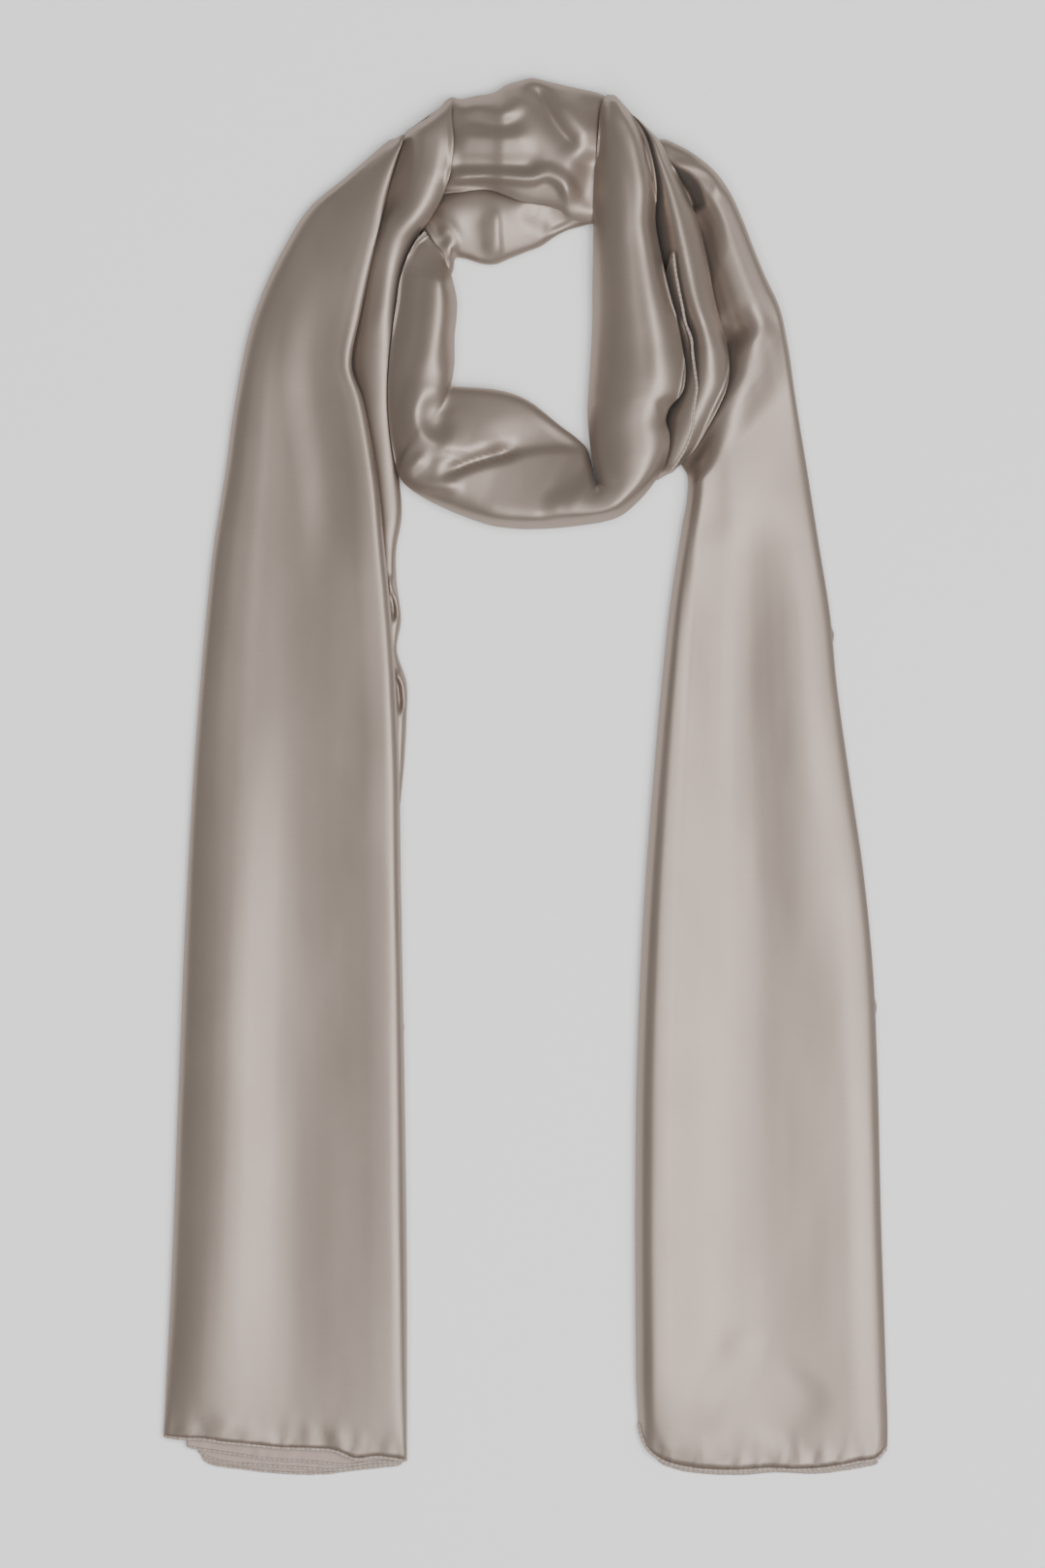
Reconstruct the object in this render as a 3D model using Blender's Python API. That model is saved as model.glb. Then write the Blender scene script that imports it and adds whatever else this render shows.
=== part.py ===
"""A long satin scarf, folded lengthwise into a stack and laid flat in one loop.

The scarf is one rectangular panel with a narrow rolled hem all round. It is folded lengthwise to a stack
of six layers, and the stack is laid as it would be worn: up from the left end, over the back of the neck,
down and round the loop, under the back of the neck again, and down to the right end. Each stretch that
shows is one solid, lofted through a short table of sections. A section runs across the stack from its left
edge to its right one, seen from above. What lies on another stretch has its underside raised off it.

Sizes are in millimetres. X points right, Y away from the two ends, Z up. The origin is in the middle
below the scarf, half way along, and the scarf lies on Z = 0.
"""
import math
from collections import namedtuple

import bpy
import numpy as np
from mathutils import Vector
from mathutils.bvhtree import BVHTree

METRES = 0.001

# The scarf and its folds
SEAM_GAP = 0.35          # room between two stretches that touch
ROLL = 2.2               # how far the folded edges round out past the flat of the stack
GROOVE = 0.62            # depth of the groove between two folded edges, as a share of ROLL
LEAST_WALL = 2.4         # thinnest that a stretch gets where it lies on another
HEM_REACH = 48.0         # length over which a stack's end is drawn to its hem line
HEM_EASE = 1.3           # how gently that pull begins: over 1, and low enough that no row passes the next
MOST_DROP = 6.0          # farthest that a stretch is let down onto what lies below it
SETTLE_TRIES = 8         # halvings of that drop until the stretch lies a seam's gap above
MOST_STEPS = 3           # steps between two sections, where they lie far apart on a straight run
SHARP_ANGLE = 40.0       # in degrees: a crease bent more than this is shaded as an edge
SEARCH_RINGS = ((0.3, 6), (0.6, 10), (0.9, 16), (1.15, 20))    # where the cloth below a point is looked up

# The section columns: where the left and right edges are, and how high the edges and the middle stand
Section = namedtuple("Section", "left_x left_y right_x right_y left_high crown right_high")

HIGHS = Section._fields.index("left_high")

# A fold is a soft ridge, or a trough where its rise is negative, along a path seen from above
Fold = namedtuple("Fold", "rise left_width right_width path")

# A stretch: columns across it, length of one step along it, folded edges stacked at its side
Stretch = namedtuple("Stretch", "name sections across step edges under folds hem")

TAIL_LEFT = (
    Section(-71, 328, -62, 330, 6, 13, 8),
    Section(-82.5, 318, -68, 314, 7, 17, 12),
    Section(-95.5, 307, -72.5, 298, 8, 19, 13),
    Section(-109, 296, -76, 281, 8, 19.5, 14),
    Section(-124, 274, -82, 262, 9, 19.5, 14),
    Section(-136, 249, -86, 238, 9, 19, 14),
    Section(-144, 224, -89.5, 212, 9, 18, 14),
    Section(-149.5, 195, -84, 195, 9, 16.5, 13),
    Section(-155, 156, -76.5, 156, 9, 15.5, 12),
    Section(-161, 118, -72.5, 118, 8.5, 15, 11),
    Section(-165, 80, -69, 80, 8.5, 14.5, 10),
    Section(-170, 20, -65.5, 20, 8.5, 14, 9.5),
    Section(-175, -64, -64, -64, 8.5, 13.5, 9),
    Section(-179.5, -174, -62, -174, 8.5, 13.5, 9),
    Section(-183, -264, -61, -264, 8.5, 13, 9),
    Section(-185.5, -312, -61, -314, 8, 11, 8.5),
    Section(-186.5, -333, -61, -338, 7, 8, 7),
    Section(-187, -337, -61, -341, 6.5, 7, 6.5),
    Section(-187, -337.7, -61, -341.7, 4.2, 4.4, 4.2),
    Section(-187, -341, -61, -345, 4, 4.2, 4),
    Section(-187, -341.7, -61, -345.7, 2.2, 2.2, 2.2),
    Section(-187, -345, -61, -350, 2, 2, 2),
)
TAIL_LEFT_FOLD = (
    Section(-61, 334, -37.5, 349, 8, 14, 12),
    Section(-64, 329, -38, 342, 9, 19, 18),
    Section(-68, 320, -36.5, 329, 10, 21, 19),
    Section(-72, 309, -38, 313, 10, 21.5, 19),
    Section(-76, 297, -42, 300, 9, 21, 18),
    Section(-80, 283, -48.5, 289, 8, 20, 17),
    Section(-84, 270, -56.5, 277, 7, 17, 13),
    Section(-88, 254, -62, 263, 6, 13, 9),
    Section(-90, 236, -64, 238, 6, 10.5, 7),
    Section(-90.5, 214, -66, 216, 6, 9, 6.5),
    Section(-87, 190, -66.5, 190, 5.5, 8.5, 6.5),
    Section(-81, 160, -64.5, 158, 5.5, 9, 7),
    Section(-77, 132, -64, 132, 5.5, 9, 7),
    Section(-74.5, 101, -66.5, 101, 5.5, 8, 6.5),
    Section(-72.5, 80, -64.5, 80, 5.5, 8, 6.5),
    Section(-71, 64, -66.5, 64, 5, 7, 6),
    Section(-70, 48, -61.5, 48, 5, 7.5, 6),
    Section(-69, 20, -62, 20, 4.5, 7, 5.5),
    Section(-68, -14, -64, -14, 4, 5, 4.5),
)
NECK_BAND = (
    Section(-45, 343, -47.5, 299, 8, 11, 8),
    Section(-37, 350, -39.5, 300.5, 10, 17, 12),
    Section(-25.5, 351, -26.5, 302, 11, 20, 15),
    Section(-14, 354, -16, 301, 11, 21, 16),
    Section(-3, 358.5, -3.5, 296.5, 11, 22, 17),
    Section(4, 360.5, 4, 295, 11, 22, 17),
    Section(14, 358, 13.5, 293, 11, 22, 17),
    Section(28.5, 354.5, 23.5, 287, 11, 21, 16),
    Section(36, 353, 31, 285.5, 11, 19, 14),
    Section(45, 349, 41.5, 286, 10, 16, 12),
)
NECK_INNER_BAND = (
    Section(52, 319, 52.5, 285, 9, 12, 9),
    Section(42, 317, 43.5, 285, 9, 12, 9),
    Section(33, 315, 34.5, 285, 8, 12, 8.5),
    Section(25.5, 311, 27.5, 283, 8, 12, 8.5),
    Section(18, 308, 19.5, 281, 8, 12, 8.5),
    Section(8.5, 306, 10, 273.5, 8, 12.5, 8.5),
    Section(-2.5, 306, -1, 270, 8, 13, 9),
    Section(-11, 307, -10, 267, 8, 13.5, 9),
    Section(-18.5, 308, -17.5, 263.2, 8, 14, 9),
    Section(-27, 309, -25.5, 265, 8, 14, 9),
    Section(-36, 307, -33, 266.5, 8, 14, 9),
    Section(-46, 301, -37.5, 262, 8, 13, 8),
    Section(-56, 290, -41, 254, 7, 12, 8),
)
LOOP_LEFT = (
    Section(-60.5, 149, -39.5, 201.2, 8, 20.5, 13),
    Section(-65, 154, -38.5, 202.8, 8, 20.5, 13),
    Section(-68.5, 165, -37.6, 206, 9, 20.5, 13),
    Section(-70.5, 181, -36.6, 212, 11, 20.5, 13),
    Section(-71, 198, -36.4, 220, 13, 20.5, 13),
    Section(-70, 213, -36.4, 228, 14, 20.5, 13),
    Section(-68.5, 228, -35.4, 237, 14, 20.5, 13),
    Section(-66.5, 244, -35.5, 246, 14, 20.5, 13),
    Section(-64, 259, -38, 255, 15, 20.5, 15),
    Section(-60, 270, -41.5, 263, 16, 20.5, 17),
    Section(-55, 277, -43.5, 271, 16, 19.5, 17),
)
LOOP_BOTTOM = (
    Section(46, 138, 47, 172, 5, 9, 6),
    Section(37, 133.5, 39, 172, 7, 12, 8),
    Section(28, 131, 33, 172.5, 9, 16, 10),
    Section(18, 129, 28, 174, 10, 19, 11),
    Section(8, 127.9, 22, 178, 10, 20.5, 12),
    Section(-1.5, 127.8, 14.5, 184.5, 10, 21, 12),
    Section(-14, 129, 2.5, 193.5, 10, 22, 13),
    Section(-25.5, 131.8, -11.5, 199, 10, 22, 13),
    Section(-36.5, 136, -22.5, 200.6, 9, 21.5, 13),
    Section(-45.5, 140, -32, 201, 8, 21, 13),
    Section(-53, 144, -37.2, 201, 8, 20.5, 13),
    Section(-59.5, 148.2, -39, 200.9, 8, 20.5, 13),
)
LOOP_RIGHT = (
    Section(41.5, 351, 46, 351, 17, 20, 17),
    Section(38, 344, 52.5, 344.5, 18, 25, 18),
    Section(37, 334, 60, 335, 19, 28, 19),
    Section(36, 321, 65.5, 321, 19, 29, 20),
    Section(35, 306, 67.5, 306, 18, 29.5, 20),
    Section(34.5, 288, 68.5, 288, 17, 29.5, 20),
    Section(34.5, 268, 71, 268, 15, 29, 20),
    Section(34, 251, 74.5, 251, 14, 29, 20),
    Section(34, 232, 78.5, 233, 14, 28.5, 20),
    Section(33.5, 216, 81, 216, 14, 28, 20),
    Section(32.5, 204, 82, 204, 14, 28, 20),
    Section(32, 195, 79.5, 195, 14, 27.5, 20),
    Section(32, 187, 73.5, 188, 15, 27, 20),
    Section(32.5, 180, 72, 182.5, 16, 27, 20),
    Section(33.5, 171, 74, 175, 17, 27, 19),
    Section(35, 162.5, 73.5, 166.5, 18, 27, 18),
    Section(36.5, 155.5, 70, 156, 19, 26.5, 17),
    Section(37, 152, 62, 145.5, 20, 25, 13),
    Section(35.5, 150.5, 51.5, 135.5, 20, 24, 11),
    Section(33, 150, 42, 131.5, 19.5, 22.5, 10),
    Section(30, 149.5, 34, 130, 19, 21, 10),
)
LOOP_FOLD = (
    Section(52.5, 342, 55, 340.5, 16, 19, 15),
    Section(56, 337, 61.5, 335, 17, 22, 16),
    Section(59, 329, 68, 328, 14, 24, 17),
    Section(62, 318, 74.5, 316, 13, 25, 17),
    Section(65, 303, 82, 303, 13, 25, 17),
    Section(67.5, 286, 89, 286, 13, 25, 17),
    Section(70, 270, 92.5, 270, 13, 25, 17),
    Section(73, 254, 95.5, 254, 13, 25, 17),
    Section(76.5, 239, 99, 239, 13, 25, 17),
    Section(81, 225, 103, 225, 14, 24.5, 17),
    Section(84.5, 211, 105, 211, 15, 24, 17),
    Section(86.5, 199, 103.5, 199, 15, 23.5, 16),
    Section(85.5, 188, 98, 187, 14, 22, 14),
    Section(82, 177, 92, 176, 12, 19.5, 12),
    Section(77.5, 166, 84.5, 165, 10, 16, 10),
    Section(73, 157.5, 75.5, 157, 8, 12, 8),
)
LOOP_HEM = (
    Section(71, 259, 77, 260, 14, 19, 17),
    Section(74, 245, 79.5, 246, 15, 21, 19),
    Section(77, 232, 82.5, 233, 16, 22, 20),
    Section(79.5, 219, 86, 221, 17, 23, 21),
    Section(80, 208, 87, 210, 17, 23, 21),
    Section(78, 198, 88, 200, 16, 22.5, 20),
    Section(74, 188, 87, 189, 15, 21.5, 19),
    Section(70, 178, 86.3, 179, 13, 20, 17),
    Section(70, 169, 82.5, 169.5, 11, 18, 14),
    Section(71, 162, 78, 162, 10, 15, 11),
    Section(69.5, 155, 72.5, 155, 8, 11, 8),
)
TAIL_RIGHT = (
    Section(53, 284.5, 53.5, 319, 8, 12, 8),
    Section(58, 272, 62.5, 325, 8, 14, 9),
    Section(61, 259, 72, 327.5, 8, 16, 9),
    Section(63, 246, 81.5, 323, 8, 17.5, 10),
    Section(65.5, 232, 92, 317, 8, 18.5, 10),
    Section(68, 219, 101, 307.5, 8, 18.5, 10),
    Section(70.5, 206, 109.5, 292, 8, 18.5, 10),
    Section(72.5, 193, 117, 273, 8, 18, 10),
    Section(74.5, 181, 124.5, 257.5, 8, 18, 10),
    Section(77, 170, 130.5, 243, 8, 17.5, 10),
    Section(80, 162, 134.5, 226, 8.5, 17, 10),
    Section(83, 156, 137.5, 206, 9, 16.5, 10),
    Section(83.5, 146, 142, 175, 9, 15.5, 9.5),
    Section(80.5, 129, 148, 145, 9, 15, 9),
    Section(77, 108, 152.5, 112, 9, 14.5, 9),
    Section(73.5, 81, 157.5, 81, 9, 14, 9),
    Section(70.5, 50, 161, 50, 8.5, 14, 8.5),
    Section(66, -1, 167.5, -1, 8.5, 14, 8.5),
    Section(63, -39, 173, -39, 8.5, 13.5, 8.5),
    Section(59.5, -100, 180, -100, 8.5, 13.5, 8.5),
    Section(57.5, -149, 181.5, -149, 8.5, 13.5, 8.5),
    Section(56.7, -230, 183.7, -230, 8.5, 13.5, 8.5),
    Section(57, -300, 185.8, -300, 8, 12.5, 8),
    Section(57.5, -325, 186.5, -325, 7, 9.5, 7),
    Section(58, -340, 187, -340, 5.5, 6, 5.5),
    Section(58, -345, 187, -345, 4.6, 4.8, 4.6),
    Section(58, -345.7, 187, -345.7, 2.4, 2.4, 2.4),
    Section(58, -350, 187, -350, 2, 2, 2),
)

# Hem lines, left to right, to which the ends of the two stacks are drawn
LEFT_HEM = ((-187, -340), (-172, -347), (-165, -352), (-152, -356.5), (-135, -358.5), (-104, -359.5),
            (-90, -357.5), (-76, -356), (-61, -354.5))
RIGHT_HEM = ((58, -333), (62, -345), (67, -352), (76, -356), (90, -359), (112, -360), (127, -358.5),
             (152, -359.2), (166, -357), (183, -355), (187, -347))

TAIL_LEFT_FOLDS = (
    Fold(2.6, 15, 5, ((-69, 322), (-74, 300), (-79, 280), (-86, 258), (-90, 238), (-92.5, 215), (-90, 200))),
    Fold(-2.2, 22, 18, ((-100, 270), (-108, 225), (-112, 160), (-108, 60))),
    Fold(-1.6, 16, 14, ((-88, -60), (-86, -170), (-88, -270))),
    Fold(1.8, 10, 5, ((-73, 60), (-70, -20), (-70, -130), (-69, -240), (-68, -320))),
)
TAIL_LEFT_FOLD_FOLDS = (
    Fold(2.4, 7, 5, ((-40, 345), (-41, 325), (-47, 305), (-56, 288), (-64, 280), (-68, 262), (-72, 235))),
    Fold(-4.5, 6, 8, ((-57, 333), (-56, 322), (-62, 303), (-72, 283))),
    Fold(-1.6, 5, 5, ((-77, 185), (-74, 158), (-70, 140))),
)
NECK_BAND_FOLDS = (
    Fold(2.2, 5, 6, ((-36, 349), (-29, 346), (-21, 342), (-14, 341), (-9, 346), (-4, 342), (1, 346), (3, 357))),
    Fold(1.6, 8, 9, ((-38, 328), (-20, 327), (-4, 327), (9, 329))),
    Fold(-3.4, 8, 8, ((-38, 317), (-20, 316), (0, 315), (16, 314), (26, 312))),
    Fold(2.4, 5, 4, ((-40, 303), (-31, 307), (-22, 306), (-10, 304), (0, 304), (6, 308), (10, 311), (17, 307),
                     (21, 300), (24, 293))),
    Fold(-4.2, 6, 7, ((3, 357), (9, 346), (16, 334), (24, 324), (30, 312))),
    Fold(2.6, 9, 9, ((22, 341), (28, 333), (32, 320))),
    Fold(-3.6, 6, 5, ((31, 316), (31, 302), (30, 290))),
)
NECK_INNER_FOLDS = (
    Fold(2.2, 5, 4, ((-14, 284), (-12, 275), (-12, 268))),
    Fold(-1.8, 5, 6, ((-23, 288), (-22, 274))),
    Fold(1.6, 5, 5, ((-33, 287), (-31, 274))),
    Fold(-2.0, 7, 6, ((0, 292), (8, 286), (18, 283))),
)
LOOP_LEFT_FOLDS = (
    Fold(3.0, 10, 8, ((-44, 262), (-45, 240), (-48, 226), (-49, 212), (-51, 200), (-55, 189), (-55, 178))),
    Fold(-6.0, 6, 7, ((-37, 208), (-43, 196), (-46, 186), (-43, 179))),
    Fold(2.2, 8, 8, ((-55, 178), (-50, 171), (-42, 169))),
    Fold(-2.0, 5, 6, ((-61, 250), (-62, 225), (-64, 200))),
)
LOOP_BOTTOM_FOLDS = (
    Fold(-5.5, 9, 9, ((-48, 154), (-34, 160), (-22, 163), (-11, 166), (8, 170.5), (28, 172))),
    Fold(4.0, 8, 8, ((-50, 170), (-56, 164), (-59, 156), (-54, 151), (-46, 150), (-36, 152), (-26, 154))),
    Fold(-3.2, 10, 9, ((-16, 157), (8, 152), (30, 150))),
    Fold(2.0, 8, 8, ((-36, 146), (-12, 136), (9, 133), (28, 136))),
    Fold(2.0, 10, 9, ((-50, 178), (-28, 170), (-4, 177), (18, 176))),
)
LOOP_RIGHT_FOLDS = (
    Fold(2.6, 9, 8, ((48, 342), (57, 325), (60, 300), (62, 270), (64, 240), (67, 212), (66, 190), (64, 172),
                     (60, 156))),
    Fold(-2.8, 8, 10, ((44, 336), (45, 300), (43, 262), (43, 220), (44, 188), (46, 166))),
    Fold(-3.2, 6, 6, ((77, 192), (70, 187), (62, 180))),
    Fold(1.6, 6, 6, ((37, 300), (38, 240), (37, 196), (38, 170))),
)
LOOP_FOLD_FOLDS = (
    Fold(-5.5, 5, 4, ((68, 300), (72, 284), (74, 268), (75.5, 250), (79, 236), (83, 222), (86, 208))),
    Fold(1.8, 6, 6, ((66, 330), (75, 308), (83, 285), (87, 262), (92, 238), (97, 216), (96, 198), (88, 180))),
)
TAIL_RIGHT_FOLDS = (
    Fold(-8.0, 8, 8, ((84, 303), (90, 306), (94, 303), (91, 296))),
    Fold(3.4, 6, 7, ((78, 313), (90, 314), (98, 309), (97, 298), (93, 288))),
    Fold(-6.5, 9, 9, ((94, 288), (97, 270), (100, 250), (103, 236))),
    Fold(4.2, 9, 11, ((103, 296), (107, 280), (108, 258), (111, 246))),
    Fold(3.6, 7, 6, ((98, 234), (108, 242), (117, 248))),
    Fold(-8.0, 7, 8, ((101, 221), (110, 232), (118, 239), (126, 243))),
    Fold(4.2, 8, 8, ((128, 240), (123, 231), (116, 224), (104, 214))),
    Fold(-2.0, 22, 20, ((128, 190), (134, 120), (140, 20), (142, -80), (141, -200), (140, -300))),
    Fold(2.0, 16, 14, ((84, 120), (88, 40), (90, -60), (92, -180), (94, -290))),
    Fold(1.8, 8, 8, ((150, -322), (136, -334), (140, -343), (160, -346))),
)

STRETCHES = (
    Stretch("neck_inner_band", NECK_INNER_BAND, 9, 7, 2, (), NECK_INNER_FOLDS, None),
    Stretch("tail_right", TAIL_RIGHT, 13, 11, 3, (), TAIL_RIGHT_FOLDS, RIGHT_HEM),
    Stretch("neck_band", NECK_BAND, 12, 5.5, 3, ("neck_inner_band",), NECK_BAND_FOLDS, None),
    Stretch("loop_bottom", LOOP_BOTTOM, 14, 6, 2, (), LOOP_BOTTOM_FOLDS, None),
    Stretch("tail_left_fold", TAIL_LEFT_FOLD, 7, 13, 2, ("neck_inner_band", "neck_band"),
            TAIL_LEFT_FOLD_FOLDS, None),
    Stretch("loop_left", LOOP_LEFT, 9, 7, 2, ("neck_inner_band", "tail_left_fold"), LOOP_LEFT_FOLDS, None),
    Stretch("tail_left", TAIL_LEFT, 11, 16, 3, ("tail_left_fold", "neck_band"), TAIL_LEFT_FOLDS, LEFT_HEM),
    Stretch("loop_fold", LOOP_FOLD, 8, 10, 2, ("tail_right", "neck_inner_band", "neck_band"),
            LOOP_FOLD_FOLDS, None),
    Stretch("loop_hem", LOOP_HEM, 5, 9, 1, ("tail_right", "loop_fold"), (), None),
    Stretch("loop_right", LOOP_RIGHT, 10, 7, 2,
            ("tail_right", "neck_inner_band", "neck_band", "loop_bottom", "loop_fold", "loop_hem"),
            LOOP_RIGHT_FOLDS, None),
)

# Finish: taupe satin
SATIN_COLOUR = (0.43, 0.385, 0.35, 1.0)
SATIN_ROUGHNESS = 0.42
SATIN_METALLIC = 0.25


def smooth_table(rows, step):
    """Returns the table's columns, read from a smooth curve through its rows about every step.

    The heights never swing past those of the two rows that they lie between.
    """
    table = np.array(rows, dtype=float)
    middle = (table[:, 0:2] + table[:, 2:4]) / 2
    edges = np.maximum(np.hypot(*np.diff(table[:, 0:2], axis=0).T), np.hypot(*np.diff(table[:, 2:4], axis=0).T))
    runs = np.maximum(np.hypot(*np.diff(middle, axis=0).T), edges * 0.5)
    slopes = np.diff(table, axis=0) / runs[:, None]
    tangents = np.empty_like(table)
    tangents[0] = slopes[0]
    tangents[-1] = slopes[-1]
    weight = (runs[:-1] / (runs[:-1] + runs[1:]))[:, None]
    tangents[1:-1] = slopes[:-1] * (1 - weight) + slopes[1:] * weight
    least = 3 * np.minimum(np.abs(slopes[:-1]), np.abs(slopes[1:]))
    steady = np.where(slopes[:-1] * slopes[1:] > 0, np.clip(tangents[1:-1], -least, least), 0.0)
    tangents[1:-1, HIGHS:] = steady[:, HIGHS:]
    stations = []
    for row, run in enumerate(runs):
        count = min(max(1, round(run / step)), MOST_STEPS)
        for part in range(count):
            share = part / count
            lift = share * share * (3 - 2 * share)
            start_bend = share * (1 - share) ** 2 * run
            end_bend = share * share * (share - 1) * run
            stations.append(table[row] * (1 - lift) + table[row + 1] * lift
                            + tangents[row] * start_bend + tangents[row + 1] * end_bend)
    stations.append(table[-1])
    return np.array(stations)


def dome(shares, left_high, crown, right_high):
    """Returns the heights across a stack, from one edge over its crown to the other."""
    rise = np.sin(np.pi / 2 * np.clip(shares * 2, 0, 1))
    fall = np.sin(np.pi / 2 * np.clip((1 - shares) * 2, 0, 1))
    left = left_high + (crown - left_high) * rise
    right = right_high + (crown - right_high) * fall
    return np.where(shares < 0.5, left, right)


def fold_rise(fold, points):
    """Returns how far a fold lifts the cloth at each point, seen from above."""
    path = np.array(fold.path, dtype=float)
    starts = path[:-1]
    runs = path[1:] - starts
    lengths = np.hypot(runs[:, 0], runs[:, 1])
    before = np.concatenate(([0.0], np.cumsum(lengths)))
    best = np.full(len(points), np.inf)
    side = np.zeros(len(points))
    place = np.zeros(len(points))
    for start, run, length, offset in zip(starts, runs, lengths, before):
        away = points - start
        share = np.clip((away @ run) / length ** 2, 0, 1)
        reach = away - share[:, None] * run
        distance = np.hypot(reach[:, 0], reach[:, 1])
        nearer = distance < best
        best = np.where(nearer, distance, best)
        side = np.where(nearer, run[0] * away[:, 1] - run[1] * away[:, 0], side)
        place = np.where(nearer, offset + share * length, place)
    width = np.where(side > 0, fold.left_width, fold.right_width)
    bump = np.cos(np.pi / 2 * np.clip(best / width, 0, 1)) ** 2
    taper = np.sin(np.pi * np.clip(place / before[-1], 0.12, 0.88))
    return fold.rise * bump * taper ** 0.6


def draw_to_hem(points, hem, reach):
    """Moves the stack's last points along Y, so that its end follows the hem line."""
    line = np.array(hem, dtype=float)
    end_row = points[-1]
    wanted = np.interp(end_row[:, 0], line[:, 0], line[:, 1])
    shift = wanted - end_row[:, 1]
    for row in range(len(points)):
        near = 1 - (points[row, :, 1] - end_row[:, 1]) / reach
        points[row, :, 1] += shift * np.clip(near, 0, 1) ** HEM_EASE
    return points


def surface_below(trees, x, y, spread):
    """Returns the highest point of the stretches below, within a spread of the place."""
    highest = 0.0
    offsets = [(0.0, 0.0)]
    for share, count in SEARCH_RINGS:
        for number in range(count):
            turn = 2 * math.pi * number / count
            offsets.append((spread * share * math.cos(turn), spread * share * math.sin(turn)))
    for tree in trees:
        for shift_x, shift_y in offsets:
            hit = tree.ray_cast(Vector((x + shift_x, y + shift_y, 100.0)), Vector((0, 0, -1)))
            if hit[0] is not None:
                highest = max(highest, hit[0].z)
    return highest


def loft(stretch, trees):
    """Returns the points and faces of a stretch's solid, in millimetres."""
    stations = smooth_table(stretch.sections, stretch.step)
    left = stations[:, 0:2]
    right = stations[:, 2:4]
    widths = np.hypot(*(right - left).T)
    spaced = 0.5 - 0.5 * np.cos(np.pi * np.arange(stretch.across) / (stretch.across - 1))
    inset = np.minimum(ROLL / widths, 0.25)
    shares = inset[:, None] + spaced[None, :] * (1 - 2 * inset[:, None])
    plan = left[:, None, :] + shares[:, :, None] * (right - left)[:, None, :]
    heights = np.array([dome(spaced, row[4], row[5], row[6]) for row in stations])
    flat_plan = plan.reshape(-1, 2)
    lift = sum((fold_rise(fold, flat_plan) for fold in stretch.folds), np.zeros(len(flat_plan)))
    heights = heights + lift.reshape(heights.shape)
    outward = (right - left) / widths[:, None] * (inset * widths)[:, None]
    if not trees:
        return solid(stretch, plan, heights, np.zeros_like(heights), outward)
    floors = np.zeros_like(heights)
    for row in range(floors.shape[0]):
        for column in range(floors.shape[1]):
            floors[row, column] = surface_below(trees, *plan[row, column],
                                                farthest_neighbour(plan, row, column))
    safe_drop = 0.0
    touching_drop = MOST_DROP
    for _ in range(SETTLE_TRIES):
        drop = (safe_drop + touching_drop) / 2
        points, faces = solid(stretch, plan, heights, np.maximum(floors - drop, 0), outward)
        if touches(points, faces, trees):
            touching_drop = drop
        else:
            safe_drop = drop
    rested = np.where(floors > 0, np.maximum(floors - safe_drop + SEAM_GAP, 0), 0)
    return solid(stretch, plan, heights, rested, outward)


def touches(points, faces, trees):
    """Says whether a solid's faces cross those of any stretch below it."""
    own = BVHTree.FromPolygons([Vector(point) for point in points.reshape(-1, 3)], faces)
    return any(own.overlap(tree) for tree in trees)


def solid(stretch, plan, heights, floors, outward):
    """Returns the rings of points and the faces between an underside and the cloth's top."""
    heights = np.maximum(heights, floors + LEAST_WALL)
    columns = bottom_columns(stretch)
    rings = []
    for row in range(len(plan)):
        under = [(*plan[row, column], floors[row, column]) for column in columns]
        over = [(*plan[row, column], heights[row, column]) for column in reversed(range(stretch.across))]
        right_side = side_rolls(plan[row, -1], outward[row], floors[row, -1], heights[row, -1],
                                stretch.edges)
        left_side = side_rolls(plan[row, 0], -outward[row], floors[row, 0], heights[row, 0], stretch.edges)
        rings.append(under + right_side + over + left_side[::-1])
    points = np.array(rings)
    if stretch.hem:
        points = draw_to_hem(points, stretch.hem, HEM_REACH)
    return points, ring_faces(*points.shape[:2], len(columns), stretch.across)


def farthest_neighbour(plan, row, column):
    """Returns how far the faces round a grid point reach, and no less than the rolled edge."""
    near = plan[max(row - 1, 0):row + 2, max(column - 1, 0):column + 2].reshape(-1, 2) - plan[row, column]
    return max(np.hypot(near[:, 0], near[:, 1]).max(), ROLL * 1.5)


def bottom_columns(stretch):
    """Returns which columns the underside has: a flat one needs only its edges and its middle."""
    if stretch.under or stretch.hem:
        return list(range(stretch.across))
    return [0, stretch.across // 2, stretch.across - 1]


def side_rolls(edge, outward, low, high, edges):
    """Returns the points up a stack's side, from its underside to its top: folded edges and grooves."""
    points = []
    steps = 2 * edges
    for step in range(1, steps):
        is_roll = step % 2 == 1
        out = 1.0 if is_roll else 1 - GROOVE
        height = low + (high - low) * step / steps
        points.append((edge[0] + outward[0] * out, edge[1] + outward[1] * out, height))
    return points


def ring_faces(rows, count, under, over):
    """Returns the faces that join the rings, with a cap at each end.

    A ring runs along its underside, up its right side, back over its top and down its left side.
    """
    faces = []
    for row in range(rows - 1):
        for place in range(count):
            following = (place + 1) % count
            faces.append((row * count + place, row * count + following,
                          (row + 1) * count + following, (row + 1) * count + place))
    cap = [tuple(range(count))]
    if under == over:
        side = (count - 2 * over) // 2
        top = [2 * over + side - 1 - column for column in range(over)]
        cap = [(column, column + 1, top[column + 1], top[column]) for column in range(over - 1)]
        cap.append(tuple(range(over - 1, over + side + 1)))
        cap.append(tuple(range(2 * over + side - 1, count)) + (0,))
    faces.extend(tuple(reversed(face)) for face in cap)
    faces.extend(tuple((rows - 1) * count + place for place in face) for face in cap)
    return faces


def is_inside_out(points, faces):
    """Says whether a closed solid's faces point inwards, from the sign of its volume."""
    volume = 0.0
    for face in faces:
        first = points[face[0]]
        for second, third in zip(face[1:-1], face[2:]):
            volume += np.dot(first, np.cross(points[second], points[third]))
    return volume < 0


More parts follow.
